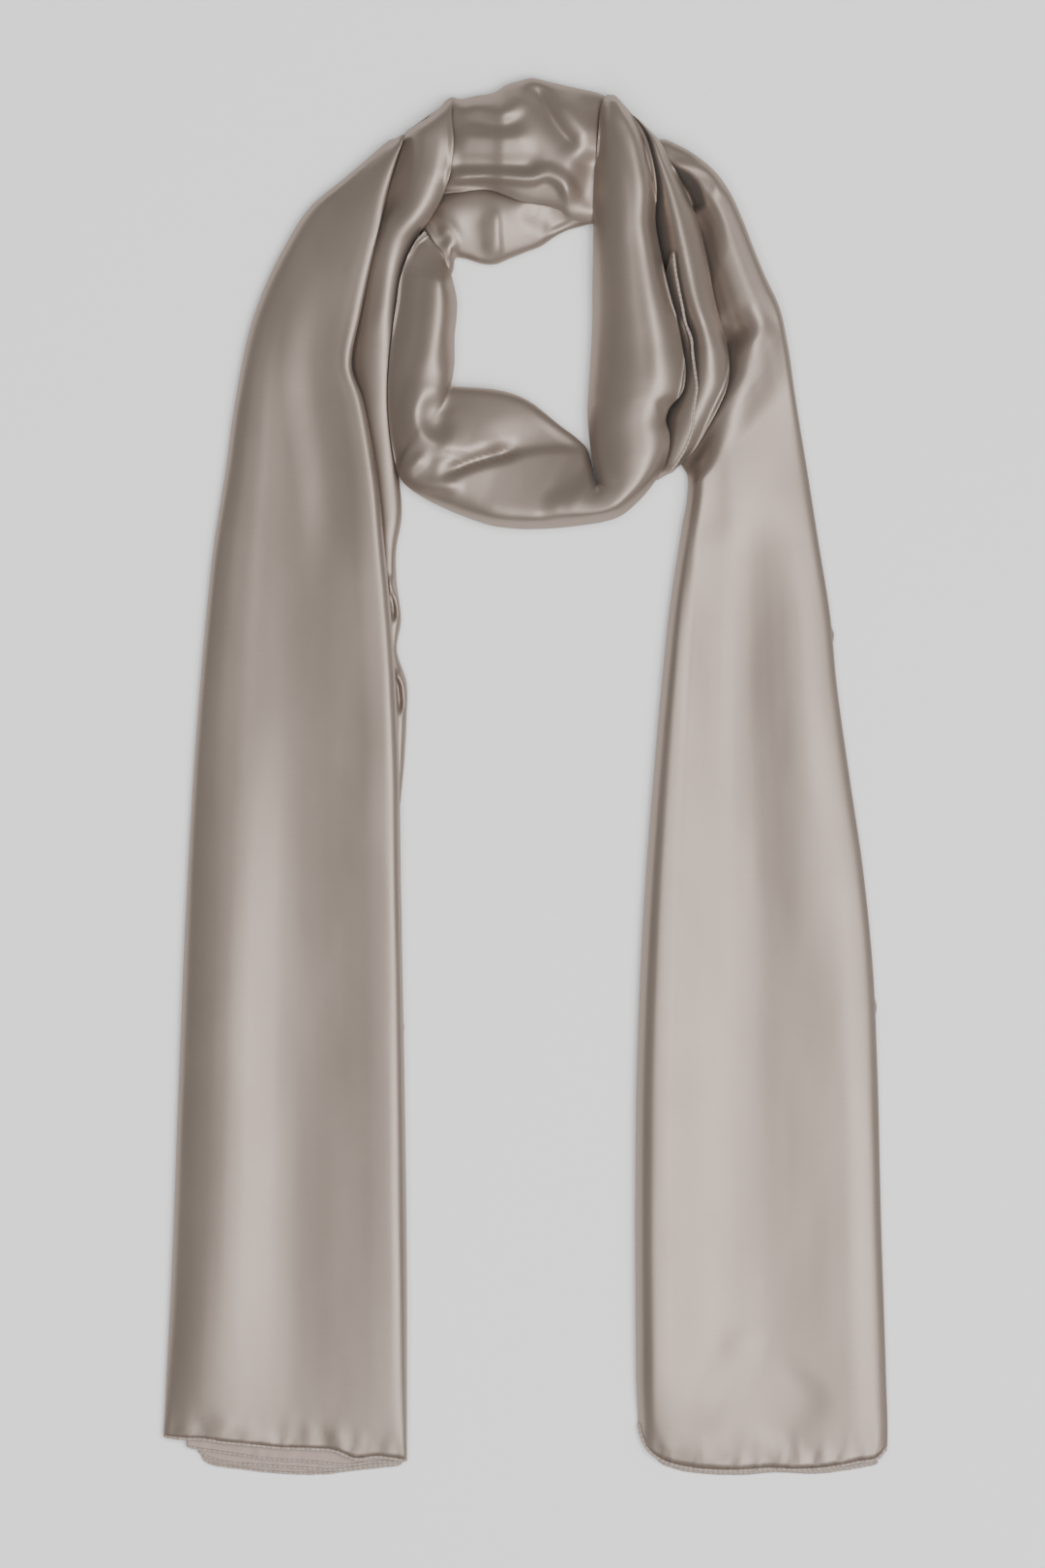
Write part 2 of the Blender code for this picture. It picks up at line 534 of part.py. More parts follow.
def satin(name):
    """Returns a satin material."""
    material = bpy.data.materials.new(name)
    material.use_nodes = True
    shader = material.node_tree.nodes["Principled BSDF"]
    shader.inputs["Base Color"].default_value = SATIN_COLOUR
    shader.inputs["Roughness"].default_value = SATIN_ROUGHNESS
    shader.inputs["Metallic"].default_value = SATIN_METALLIC
    return material


def add_stretch(stretch, trees):
    """Adds a stretch's object and returns the tree in which other stretches look it up."""
    rings, faces = loft(stretch, trees)
    points = rings.reshape(-1, 3)
    if is_inside_out(points, faces):
        faces = [tuple(reversed(face)) for face in faces]
    mesh = bpy.data.meshes.new(stretch.name)
    mesh.from_pydata([tuple(point * METRES) for point in points], [], faces)
    mesh.validate()
    mesh.shade_smooth()
    mesh.set_sharp_from_angle(angle=math.radians(SHARP_ANGLE))
    mesh.materials.append(satin(stretch.name + "_satin"))
    scarf_part = bpy.data.objects.new(stretch.name, mesh)
    bpy.context.scene.collection.objects.link(scarf_part)
    return BVHTree.FromPolygons([Vector(point) for point in points], faces)


def main():
    """Clears the scene and lays the scarf's stretches, lowest first."""
    for old in list(bpy.data.objects):
        bpy.data.objects.remove(old)
    trees = {}
    for stretch in STRETCHES:
        trees[stretch.name] = add_stretch(stretch, [trees[name] for name in stretch.under])


main()
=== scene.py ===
"""The looks of a long satin scarf, folded lengthwise into a stack and laid flat in one loop.

Each stretch of the scarf is a thin shell of cloth, lofted through a short table of sections that run across
the stack from its left edge to its right one, seen from above. Soft ridges and troughs, placed along
paths, give it its creases. The stretches are laid one after the other, lowest first, and each one rests on
the cloth that is already there. The two ends show the hems of the inner layers.

Lengths in the tables are in millimetres, and the meshes are made in metres. X points right, Y away from
the two ends, Z up, as in the frame.
"""
import logging
import math
from dataclasses import dataclass
from enum import Enum, IntEnum

import bpy
import numpy as np
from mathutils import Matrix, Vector, noise

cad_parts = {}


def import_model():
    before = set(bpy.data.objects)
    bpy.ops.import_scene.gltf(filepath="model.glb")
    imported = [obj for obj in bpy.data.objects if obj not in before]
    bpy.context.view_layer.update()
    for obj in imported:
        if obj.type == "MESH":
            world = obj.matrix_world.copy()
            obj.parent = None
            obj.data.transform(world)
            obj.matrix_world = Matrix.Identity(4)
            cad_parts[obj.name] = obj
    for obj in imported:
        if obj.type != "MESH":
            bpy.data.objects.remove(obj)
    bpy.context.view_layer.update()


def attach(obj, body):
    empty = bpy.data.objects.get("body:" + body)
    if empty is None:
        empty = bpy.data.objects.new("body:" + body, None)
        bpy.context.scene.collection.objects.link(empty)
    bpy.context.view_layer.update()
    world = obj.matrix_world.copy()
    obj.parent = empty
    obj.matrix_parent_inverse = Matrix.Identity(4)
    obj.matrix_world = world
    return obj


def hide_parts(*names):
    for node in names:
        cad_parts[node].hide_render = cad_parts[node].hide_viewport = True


LOG = logging.getLogger("scarf")

BODY = "root"
MM = 0.001
GROUND = ((-205, -380), (205, 380), 0.8)     # corners and cell of the map of the cloth's heights

# The cloth
CLOTH = 0.4              # wall of the shell: two plies of satin that lie on each other
PLY_GAP = 0.35           # room between the cloth of two stretches
BARE = 0.3               # the floor counts as bare where the cloth is lower than this
SHARP = 75               # edges that turn by more degrees are drawn sharp

# The top surface
EDGE_RUN = 0.7           # share of an outer edge's length that counts for a stretch's own
DOME_POINTS = 9          # points on each side of a dome
FORM_STEP = 0.02         # spacing at which a form across is read
ROLL_SHARE = 0.3         # widest rounding of a top edge, as a share of the width
ROLL_POINTS = 7          # points round the top edge, and round a lower folded edge
LEAST_POINTS = 6         # fewest points across
FOLD_EDGE = 1.6          # folds fade out over this share of the rounding at the edge
FOLD_START = 0.06        # how much of a fold shows at its very ends
CREASE_BEND = 0.7        # how tightly the cloth bends at the bottom of a crease
BLEND = 1.2              # how softly two surfaces round into each other
BLEND_SINK = 0.12        # share of that rounding by which the surface is let down again
END_LEAST = 0.12         # height left at the very end of a closed stretch, as a share
LEAST_HEIGHT = 0.5       # least height of a row over its underside

# The folded edges at the sides
FOOT_SHARE = 0.9         # how far in the underside stays, as a share of the grooves
EDGE_INSET = 0.5         # how far in the lower folded edges lie

# The ends
HEM_STEP = 1.0           # spacing at which a hem line is read
PLY_STEP = 1.2           # and the hem line of an inner ply
LOW_INSET = 1.5          # how far the underside stays behind the lowest hem line
DRAW_EASE = 1.3          # how quickly the pull to a hem line fades
PUCKER_REACH = 34        # how far from the hem the cloth is gathered
PUFF_PLACE = 5           # where the puffs above a hem are highest
PUFF_LENGTH = 9          # and how far they reach to either side of that
GATHER_LENGTH = 6        # how quickly the gathers at the hem fade
SIDE_FADE = 6            # how far from the sides the gathers fade out


class Column(IntEnum):
    """The numbers of a section across a stack, in their order in the tables.

    They are its left and right edges, seen from above, and how high the left edge, the crown and the right
    edge stand.
    """

    LEFT_X = 0
    LEFT_Y = 1
    RIGHT_X = 2
    RIGHT_Y = 3
    LEFT_HIGH = 4
    CROWN = 5
    RIGHT_HIGH = 6


class Form(Enum):
    """The form across a fold: a round swell, or a crease with a narrow bottom and full sides."""

    SWELL = "swell"
    CREASE = "crease"


class End(Enum):
    """How a stretch ends: closed under its neighbour, or open at the scarf's hem."""

    CLOSED = "closed"
    HEM = "hem"


@dataclass(frozen=True)
class Fold:
    """A ridge along a path seen from above, or a trough where its rise is negative."""

    rise: float
    left_width: float
    right_width: float
    path: tuple
    fade: float = 0.3
    form: Form = Form.SWELL


@dataclass(frozen=True)
class Waves:
    """Slow, uneven waves over a stretch, and finer ones on them: their height, spacings and seed."""

    height: float
    across: float
    along: float
    seed: float
    finer: tuple = (0.4, 2.1, 2.3, 7)    # the finer ones' height, closeness across and along, and seed


@dataclass(frozen=True)
class Ripple:
    """A fine unevenness: its height, how close it is across and along, and its seed."""

    height: float
    across: float
    along: float
    seed: float

    def at(self, x: float, y: float) -> float:
        """Returns its height at a place."""
        return self.height * noise.noise(Vector((x * self.across, y * self.along, self.seed)))


PUFFS = Ripple(0.9, 0.13, 0.05, 3.7)         # slow puffs above a hem
GATHERS = Ripple(1.1, 0.31, 0.16, 9.1)       # short gathers right at the hem
HEM_SWELL = Ripple(0.22, 0.35, 1.0, 1.3)     # how a rolled hem thickens and thins
HEM_LIFT = Ripple(0.35, 0.17, 1.0, 8.3)      # how it rises and falls


def ease(share: np.ndarray) -> np.ndarray:
    """Turns a share from 0 to 1 into one that starts and ends gently."""
    share = np.clip(share, 0, 1)
    return share * share * (3 - 2 * share)


def run_lengths(points: np.ndarray) -> np.ndarray:
    """Returns the distance from each point, seen from above, to the next."""
    return np.hypot(*np.diff(points, axis=0).T)


def curve_points(ends: np.ndarray, tangents: np.ndarray, run: float, count: int) -> np.ndarray:
    """Reads a smooth curve between two rows of a table.

    Args:
        ends: the two rows.
        tangents: how fast the curve changes at each of them.
        run: the distance between them.
        count: how many points are read.

    Returns:
        The points from the first row on. The second row is left out.
    """
    share = (np.arange(count) / count)[:, None]
    lift = ease(share)
    return (ends[0] * (1 - lift) + ends[1] * lift + tangents[0] * share * (1 - share) ** 2 * run
            + tangents[1] * share * share * (share - 1) * run)


def smooth_rows(rows: tuple, step: float, fine: tuple) -> tuple:
    """Reads a table from a smooth curve through its rows.

    Args:
        rows: the sections, as tuples of numbers.
        step: the distance between two rows of the result.
        fine: how many rows of the table have a finer step, and that step, or nothing.

    Returns:
        The rows of the curve, how far along the stretch each one is, and its place among the sections.
    """
    table = np.array(rows, dtype=float)
    left, right = table[:, :Column.RIGHT_X], table[:, Column.RIGHT_X:Column.LEFT_HIGH]
    outer = np.maximum(run_lengths(left), run_lengths(right))
    runs = np.maximum(run_lengths((left + right) / 2), outer * EDGE_RUN)
    slopes = np.diff(table, axis=0) / runs[:, None]
    weight = (runs[:-1] / (runs[:-1] + runs[1:]))[:, None]
    tangents = np.vstack((slopes[:1], slopes[:-1] * (1 - weight) + slopes[1:] * weight, slopes[-1:]))
    least = 3 * np.minimum(np.abs(slopes[:-1]), np.abs(slopes[1:]))
    steady = np.where(slopes[:-1] * slopes[1:] > 0, np.clip(tangents[1:-1], -least, least), 0.0)
    tangents[1:-1, Column.LEFT_HIGH:] = steady[:, Column.LEFT_HIGH:]
    stations = []
    along = []
    numbers = []
    start = 0.0
    for row, run in enumerate(runs):
        spacing = fine[1] if fine and row < fine[0] else step
        count = max(1, round(run / spacing))
        share = np.arange(count) / count
        stations.append(curve_points(table[row:row + 2], tangents[row:row + 2], run, count))
        along.append(start + share * run)
        numbers.append(row + share)
        start += run
    stations.append(table[-1:])
    along.append(np.array([start]))
    numbers.append(np.array([float(len(runs))]))
    return np.vstack(stations), np.concatenate(along), np.concatenate(numbers)


def smooth_path(points: tuple, step: float = 2.0) -> np.ndarray:
    """Reads a path from a smooth curve through its points.

    Args:
        points: the path's points.
        step: the distance between two points of the result.

    Returns:
        The points of the curve, one row each.
    """
    table = np.array(points, dtype=float)
    runs = run_lengths(table)
    slopes = np.diff(table, axis=0) / runs[:, None]
    tangents = np.vstack((slopes[:1], (slopes[:-1] + slopes[1:]) / 2, slopes[-1:]))
    curve = [curve_points(table[row:row + 2], tangents[row:row + 2], run, max(1, round(run / step)))
             for row, run in enumerate(runs)]
    return np.vstack((*curve, table[-1:]))


def dome(crown_at: float, left_fullness: float, right_fullness: float) -> tuple:
    """Makes a rounded form across a stretch.

    Args:
        crown_at: where across the crown lies, from 0 to 1.
        left_fullness: how full the left side is: 1 is straight, more is squarer.
        right_fullness: the same for the right side.

    Returns:
        Places across and their heights, as shares of the crown.
    """
    left_places = np.linspace(0, crown_at, DOME_POINTS)[:-1]
    places = np.concatenate((left_places, np.linspace(crown_at, 1, DOME_POINTS)))
    on_left = places < crown_at
    toward = np.where(on_left, (crown_at - places) / crown_at, (places - crown_at) / (1 - crown_at))
    heights = 1 - toward ** np.where(on_left, left_fullness, right_fullness)
    return tuple(zip(places.tolist(), heights.tolist()))


def fold_rise(fold: Fold, points: np.ndarray) -> np.ndarray:
    """Works out how far a fold lifts the cloth.

    Args:
        fold: the ridge or trough.
        points: the places, seen from above, one row each.

    Returns:
        The lift at each place.
    """
    path = smooth_path(fold.path)
    reach = max(fold.left_width, fold.right_width)
    near = np.all((points > path.min(axis=0) - reach) & (points < path.max(axis=0) + reach), axis=1)
    lift = np.zeros(len(points))
    places = points[near]
    starts = path[:-1]
    runs = path[1:] - starts
    lengths = np.hypot(runs[:, 0], runs[:, 1])
    before = np.concatenate(([0.0], np.cumsum(lengths)))
    away = places[:, None, :] - starts[None, :, :]
    share = np.clip((away * runs).sum(axis=2) / lengths ** 2, 0, 1)
    gap = away - share[:, :, None] * runs
    distances = np.hypot(gap[:, :, 0], gap[:, :, 1])
    nearest = distances.argmin(axis=1)
    rows = np.arange(len(places))
    cross = runs[nearest, 0] * away[rows, nearest, 1] - runs[nearest, 1] * away[rows, nearest, 0]
    width = np.where(cross > 0, fold.left_width, fold.right_width)
    place = (before[nearest] + share[rows, nearest] * lengths[nearest]) / before[-1]
    distance = distances[rows, nearest]
    if fold.form is Form.CREASE:
        bump = (1 - np.clip((np.hypot(distance, CREASE_BEND) - CREASE_BEND) / width, 0, 1)) ** 2
    else:
        bump = np.cos(np.pi / 2 * np.clip(distance / width, 0, 1)) ** 2
    lift[near] = fold.rise * bump * ease(np.minimum(place, 1 - place) / fold.fade + FOLD_START)
    return lift


def wave_rise(waves: Waves, points: np.ndarray) -> np.ndarray:
    """Works out how far the waves lift the cloth.

    Args:
        waves: the waves.
        points: the places, seen from above, one row each.

    Returns:
        The lift at each place.
    """
    height, across, along, seed = waves.finer
    lifts = [noise.noise(Vector((x / waves.across, y / waves.along, waves.seed)))
             + height * noise.noise(Vector((x * across / waves.across, y * along / waves.along,
                                            waves.seed + seed)))
             for x, y in points]
    return waves.height * np.array(lifts)


def draw_to_line(grid: np.ndarray, line: tuple, reach: float, inset: float) -> None:
    """Draws the last row of a grid to a hem line, and the rows before it less and less.

    Args:
        grid: the points, rows by points by 2 or 3, which are moved.
        line: the hem line's points.
        reach: how far from the end the rows start to move.
        inset: how far behind the line the last row stays.
    """
    curve = smooth_path(line, HEM_STEP)
    curve = curve[np.argsort(curve[:, 0])]
    end = grid[-1].copy()
    shift = np.interp(end[:, 0], curve[:, 0], curve[:, 1]) + inset - end[:, 1]
    distance = grid[:, :, 1] - end[None, :, 1]
    grid[:, :, 1] += shift[None, :] * np.clip(1 - distance / reach, 0, 1) ** DRAW_EASE


def travelled(grid: np.ndarray, axis: int) -> np.ndarray:
    """Measures a grid along its columns or its rows.

    Args:
        grid: the points, rows by points by 3.
        axis: 0 along the columns, 1 along the rows.

    Returns:
        How far along each point is.
    """
    steps = np.linalg.norm(np.diff(grid, axis=axis), axis=2)
    start = np.zeros_like(steps.take([0], axis=axis))
    return np.concatenate((start, np.cumsum(steps, axis=axis)), axis=axis)


def faces_inward(grid: np.ndarray, quads: np.ndarray) -> bool:
    """Tells whether a tube's faces point inwards, by the sign of its volume."""
    points = grid.reshape(-1, 3)
    centre = points.mean(axis=0)
    a, b, c, d = (points[quads.reshape(-1, 4)[:, corner]] - centre for corner in range(4))
    return float((a * np.cross(b, c)).sum() + (a * np.cross(c, d)).sum()) < 0


def add_piece(name: str, grid: np.ndarray, flat: np.ndarray, caps: tuple = ()) -> bpy.types.Object:
    """Adds a piece whose mesh is a grid of points, with its UV map in metres.

    Args:
        name: its name.
        grid: the points, rows by points by 3.
        flat: where the points lie on the flat cloth. A tube's rows end with their first point once more.
        caps: for a tube, whether the start and the finish are closed; nothing for an open sheet.

    Returns:
        The piece, smooth and facing outwards.
    """
    rows, count = grid.shape[:2]
    place = np.arange(count if caps else count - 1)
    following = (place + 1) % count
    row = np.arange(rows - 1)[:, None] * count
    quads = np.stack((row + place, row + following, row + count + following, row + count + place), axis=2)
    faces = [tuple(face) for face in quads.reshape(-1, 4).tolist()]
    corners = np.stack((flat[:-1, :-1], flat[:-1, 1:], flat[1:, 1:], flat[1:, :-1]), axis=2) * MM
    uvs = corners.reshape(-1, 2).tolist()
    for capped, base in zip(caps, (0, (rows - 1) * count)):
        if capped:
            ring = tuple(base + number for number in range(count))
            faces.append(ring if base else tuple(reversed(ring)))
            uvs.extend([[0.0, 0.0]] * count)
    mesh = bpy.data.meshes.new(name)
    mesh.from_pydata((grid.reshape(-1, 3) * MM).tolist(), [], faces)
    mesh.uv_layers.new(name="Cloth").data.foreach_set("uv", np.array(uvs).ravel())
    if faces_inward(grid, quads) if caps else sum(face.normal.z for face in mesh.polygons) < 0:
        mesh.flip_normals()
    mesh.shade_smooth()
    piece = bpy.data.objects.new(name, mesh)
    bpy.context.scene.collection.objects.link(piece)
    return piece


def give_wall(piece: bpy.types.Object) -> None:
    """Gives a sheet the thickness of its cloth, on its inner side."""
    wall = piece.modifiers.new("wall", "SOLIDIFY")
    wall.thickness = CLOTH * MM
    wall.offset = -1


def dress_piece(piece: bpy.types.Object, material: bpy.types.Material) -> None:
    """Gives a piece its finish and its body, and reports it."""
    piece.data.materials.append(material)
    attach(piece, BODY)
    LOG.info("%s: %d faces", piece.name, len(piece.data.polygons))


class HeightMap:
    """The top of the cloth laid so far, above each cell of the floor."""

    def __init__(self, low: tuple, high: tuple, cell: float) -> None:
        """Starts with a bare floor.

        Args:
            low: the left and near corner.
            high: the right and far corner.
            cell: the size of one cell.
        """
        self.low = np.array(low, dtype=float)
        self.cell = cell
        counts = np.ceil((np.array(high) - self.low) / cell).astype(int)
        self.tops = np.zeros(tuple(counts))

    def lay(self, top: np.ndarray) -> None:
        """Adds a surface.

        Args:
            top: its points, rows by points by 3.
        """
        corners = (top[:-1, :-1], top[:-1, 1:], top[1:, :-1], top[1:, 1:])
        longest = max(np.abs(np.diff(top[:, :, :2], axis=axis)).max() for axis in (0, 1))
        parts = int(longest / self.cell) + 2
        for across in range(parts):
            for along in range(parts):
                right = across / parts
                up = along / parts
                weights = ((1 - up) * (1 - right), (1 - up) * right, up * (1 - right), up * right)
                points = sum(weight * corner for weight, corner in zip(weights, corners)).reshape(-1, 3)
                cells = ((points[:, :2] - self.low) / self.cell).astype(int)
                np.maximum.at(self.tops, (cells[:, 0], cells[:, 1]), points[:, 2])

    def look(self, points: np.ndarray, reach: float) -> np.ndarray:
        """Finds where cloth that is laid next would rest.

        Args:
            points: the places, seen from above, one row each.
            reach: how far round each place the highest cloth is looked for.

        Returns:
            The height at each place: just above the cloth below, or the floor's.
        """
        cells = int(round(reach / self.cell))
        widest = self.tops.copy()
        for shift_x in range(-cells, cells + 1):
            for shift_y in range(-cells, cells + 1):
                if shift_x ** 2 + shift_y ** 2 <= cells ** 2:
                    widest = np.maximum(widest, np.roll(self.tops, (shift_x, shift_y), axis=(0, 1)))
        for axis in (0, 1):
            widest = (np.roll(widest, 1, axis) + widest + np.roll(widest, -1, axis)) / 3
        place = (points - self.low) / self.cell - 0.5
        corner = np.floor(place).astype(int)
        x, y = corner.T
        across, along = (place - corner).T
        below = (widest[x, y] * (1 - across) * (1 - along) + widest[x + 1, y] * across * (1 - along)
                 + widest[x, y + 1] * (1 - across) * along + widest[x + 1, y + 1] * across * along)
        return np.where(below > BARE, below + PLY_GAP, 0.0)


@dataclass
class Stretch:
    """A stretch of the folded scarf: a flattened tube of cloth round its hidden layers."""

    name: str
    nodes: tuple
    sections: tuple
    forms: tuple                 # its forms across, each with its place among the sections
    folds: tuple
    waves: tuple
    edges: int = 2               # folded edges stacked up its side
    roll: float = 3.2            # how far in its top edge rounds over
    groove: float = 1.3          # how far in the grooves between the folded edges go
    wall: float = 2.6            # least height where it lies on other cloth
    grain: float = 1.6           # spacing of its points across
    step: float = 1.8            # and along
    fine: tuple = ()             # rows of the table up to which the step is finer, and that step
    start: End = End.CLOSED
    finish: End = End.CLOSED
    start_round: float = 4.0     # how far from its start it is rounded down
    finish_round: float = 4.0
    reach: float = 2.4           # how far round each place the cloth below is looked for
    nubs: tuple = ()             # where a lower edge peeps out: its number, place, length, side, how far
    hem_lines: tuple = ()        # top line, lowest line and the length drawn to them
    rests_on: tuple = ()

    def lay(self, ground: HeightMap) -> bpy.types.Object:
        """Shapes the stretch on what lies there, and adds its mesh.

        Args:
            ground: the cloth that is already there, to which it is added.

        Returns:
            The piece.
        """
        self.shape_top(ground)
        piece = self.tube(self.rings(ground))
        ground.lay(self.top)
        return piece

    def shape_top(self, ground: HeightMap) -> None:
        """Works out the grid of the top surface, from crest to crest."""
        rows, self.along, self.numbers = smooth_rows(self.sections, self.step, self.fine)
        left, right = rows[:, :Column.RIGHT_X], rows[:, Column.RIGHT_X:Column.LEFT_HIGH]
        self.widths = np.hypot(*(right - left).T)[:, None]
        self.sideways = (right - left) / self.widths
        rolls = np.minimum(self.roll, self.widths * ROLL_SHARE)
        middle = max(LEAST_POINTS, int(round((self.widths.mean() - 2 * self.roll) / self.grain)))
        turn = np.linspace(0, np.pi / 2, ROLL_POINTS)[:-1]
        rounded = rolls * (1 - np.cos(turn))
        flat = rolls + (self.widths - 2 * rolls) * np.linspace(0, 1, middle)
        inward = np.hstack((rounded, flat, self.widths - rounded[:, ::-1]))
        share = inward / self.widths
        plan = left[:, None, :] + inward[:, :, None] * self.sideways[:, None, :]
        places = plan.reshape(-1, 2)
        level = rows[:, Column.LEFT_HIGH, None] * (1 - share) + rows[:, Column.RIGHT_HIGH, None] * share
        body = (rows[:, Column.CROWN, None] - level) * self.form_across(share)
        moulded = sum((fold_rise(fold, places) for fold in self.folds), np.zeros(len(places)))
        moulded = moulded + sum((wave_rise(waves, places) for waves in self.waves), np.zeros(len(places)))
        edge = np.minimum(inward, self.widths - inward)
        cap = np.sqrt(np.clip(1 - (1 - np.clip(edge / rolls, 0, 1)) ** 2, 0, 1))
        self.base = ground.look(places, self.reach).reshape(share.shape)
        high = level + body + moulded.reshape(share.shape) * ease(edge / (rolls * FOLD_EDGE))
        high = self.soften(high, self.base + self.wall)
        crest = self.base + (high - self.base) * ((2 * self.edges - 1) / (2 * self.edges))
        high = self.round_ends(crest + (high - crest) * cap)
        self.top = np.dstack((plan, high))
        if self.hem_lines:
            self.pucker()

    def form_across(self, share: np.ndarray) -> np.ndarray:
        """Returns the height across each row, as a share of its crown.

        Args:
            share: how far across each point is, from 0 to 1.

        Returns:
            The heights, rows by points.
        """
        shapes = np.array([np.interp(share, *smooth_path(keys, FORM_STEP).T) for _, keys in self.forms])
        if len(self.forms) == 1:
            return shapes[0]
        places = np.array([place for place, _ in self.forms], dtype=float)
        after = np.clip(np.searchsorted(places, self.numbers), 1, len(places) - 1)
        passed = ease((self.numbers - places[after - 1]) / (places[after] - places[after - 1]))[:, None]
        rows = np.arange(len(self.numbers))
        return shapes[after - 1, rows] * (1 - passed) + shapes[after, rows] * passed

    @staticmethod
    def soften(high: np.ndarray, least: np.ndarray) -> np.ndarray:
        """Returns the higher of two surfaces, rounded where they meet."""
        return (high + least + np.sqrt((high - least) ** 2 + BLEND ** 2)) / 2 - BLEND * BLEND_SINK

    def round_ends(self, high: np.ndarray) -> np.ndarray:
        """Rounds the closed ends down to the underside.

        Args:
            high: the heights of the top surface.

        Returns:
            The rounded heights.
        """
        for end, size, distance in ((self.start, self.start_round, self.along),
                                    (self.finish, self.finish_round, self.along[-1] - self.along)):
            if end is End.CLOSED and size > 0:
                near = np.clip(distance / size, 0, 1)
                cap = np.sqrt(1 - (1 - near) ** 2)[:, None]
                high = self.base + (high - self.base) * (END_LEAST + (1 - END_LEAST) * cap)
        return high

    def pucker(self) -> None:
        """Draws the end to its hem line and gathers the cloth a little there."""
        top_line, _, reach = self.hem_lines
        draw_to_line(self.top, top_line, reach, 0.0)
        distance = self.top[:, :, 1] - self.top[-1:, :, 1]
        across = self.top[:, :, 0]
        places = np.column_stack((across.ravel(), distance.ravel()))
        near = places[:, 1] < PUCKER_REACH
        lift = np.zeros(len(places))
        lift[near] = [PUFFS.at(x, y) * math.exp(-((y - PUFF_PLACE) / PUFF_LENGTH) ** 2)
                      + GATHERS.at(x, y) * math.exp(-y / GATHER_LENGTH) for x, y in places[near]]
        fade = ease(np.minimum(across - across.min(), across.max() - across) / SIDE_FADE)
        self.top[:, :, 2] += lift.reshape(across.shape) * fade

    def rings(self, ground: HeightMap) -> np.ndarray:
        """Closes the top grid into rings.

        Args:
            ground: the cloth that is already there.

        Returns:
            The rings' points: underside, right side, top and left side.
        """
        inset = self.groove * FOOT_SHARE
        shares = np.linspace(0, 1, max(LEAST_POINTS, self.top.shape[1] // 4))
        inward = inset + (self.widths - 2 * inset) * shares
        plan = self.top[:, :1, :2] + inward[:, :, None] * self.sideways[:, None, :]
        high = ground.look(plan.reshape(-1, 2), self.reach).reshape(inward.shape)
        high = np.minimum(high, self.top[:, :, 2].max(axis=1)[:, None] - LEAST_HEIGHT)
        if self.hem_lines:
            _, low_line, reach = self.hem_lines
            draw_to_line(plan, low_line, reach, LOW_INSET)
        under = np.dstack((plan, high))
        right_side = self.side(self.top[:, -1], under[:, -1], self.sideways, 1)
        left_side = self.side(self.top[:, 0], under[:, 0], -self.sideways, 0)
        return np.concatenate((under, right_side, self.top[:, ::-1], left_side[:, ::-1]), axis=1)

    def side(self, crest: np.ndarray, foot: np.ndarray, outward: np.ndarray, right: int) -> np.ndarray:
        """Stacks the folded edges between the underside and the crest of the top edge.

        Args:
            crest: the outermost points of the top edge.
            foot: the underside's edge points.
            outward: the direction away from the stretch, in plan.
            right: 1 for the right side, 0 for the left one.

        Returns:
            The side's points, from the underside up, without its two ends.
        """
        layers = []
        units = 2 * self.edges - 1
        wander = Ripple(0.9, 0.021, 5.3, 2.0 * right + 0.5)
        for layer in range(self.edges - 1):
            out = np.array([wander.at(y, layer) for y in self.along]) - EDGE_INSET + self.nub(layer, right)
            for angle in np.linspace(-np.pi / 2, np.pi / 2, ROLL_POINTS)[:-1]:
                layers.append((2 * layer / units + (1 + math.sin(angle)) / units,
                               out * math.cos(angle) - self.groove * (1 - math.cos(angle))))
        for angle in np.linspace(-np.pi / 2, 0, ROLL_POINTS // 2 + 1)[:-1]:
            layers.append((1 + math.sin(angle) / units, -self.groove * (1 - math.cos(angle))))
        points = []
        height = crest[:, 2] - foot[:, 2]
        for up, out in layers[1:]:
            base = crest[:, :2] * up + (foot[:, :2] + outward * self.groove * FOOT_SHARE) * (1 - up)
            plan = base + outward * np.broadcast_to(out, height.shape)[:, None]
            points.append(np.column_stack((plan, foot[:, 2] + height * up)))
        return np.stack(points, axis=1)

    def nub(self, layer: int, right: int) -> np.ndarray:
        """Works out how far a lower folded edge peeps out.

        Args:
            layer: the edge's number, from the lowest up.
            right: 1 for the right side, 0 for the left one.

        Returns:
            The distance at each place along.
        """
        out = np.zeros(len(self.along))
        for nub_layer, place, length, side, far in self.nubs:
            if nub_layer == layer and side == right:
                out += far * np.cos(np.pi / 2 * np.clip((self.along - place) / length, -1, 1)) ** 2
        return out

    def tube(self, rings: np.ndarray) -> bpy.types.Object:
        """Makes the stretch's piece.

        Args:
            rings: its rings of points, from start to finish.

        Returns:
            The piece, with its cloth wall.
        """
        girth = travelled(np.concatenate((rings, rings[:, :1]), axis=1), 1)
        lengthwise = np.broadcast_to(self.along[:, None], girth.shape)
        caps = (self.start is End.CLOSED, self.finish is End.CLOSED)
        piece = add_piece(self.name, rings, np.dstack((girth, lengthwise)), caps)
        piece.data.set_sharp_from_angle(angle=math.radians(SHARP))
        give_wall(piece)
        self.girth = float(girth[:, -1].mean()) * MM
        return piece

    def dress(self, piece: bpy.types.Object, material: bpy.types.Material, hems: tuple = ()) -> None:
        """Args:
            piece: the stretch's piece.
            material: its finish.
            hems: the pieces of its hems; not used.
        """
        dress_piece(piece, material)
        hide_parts(*self.nodes)


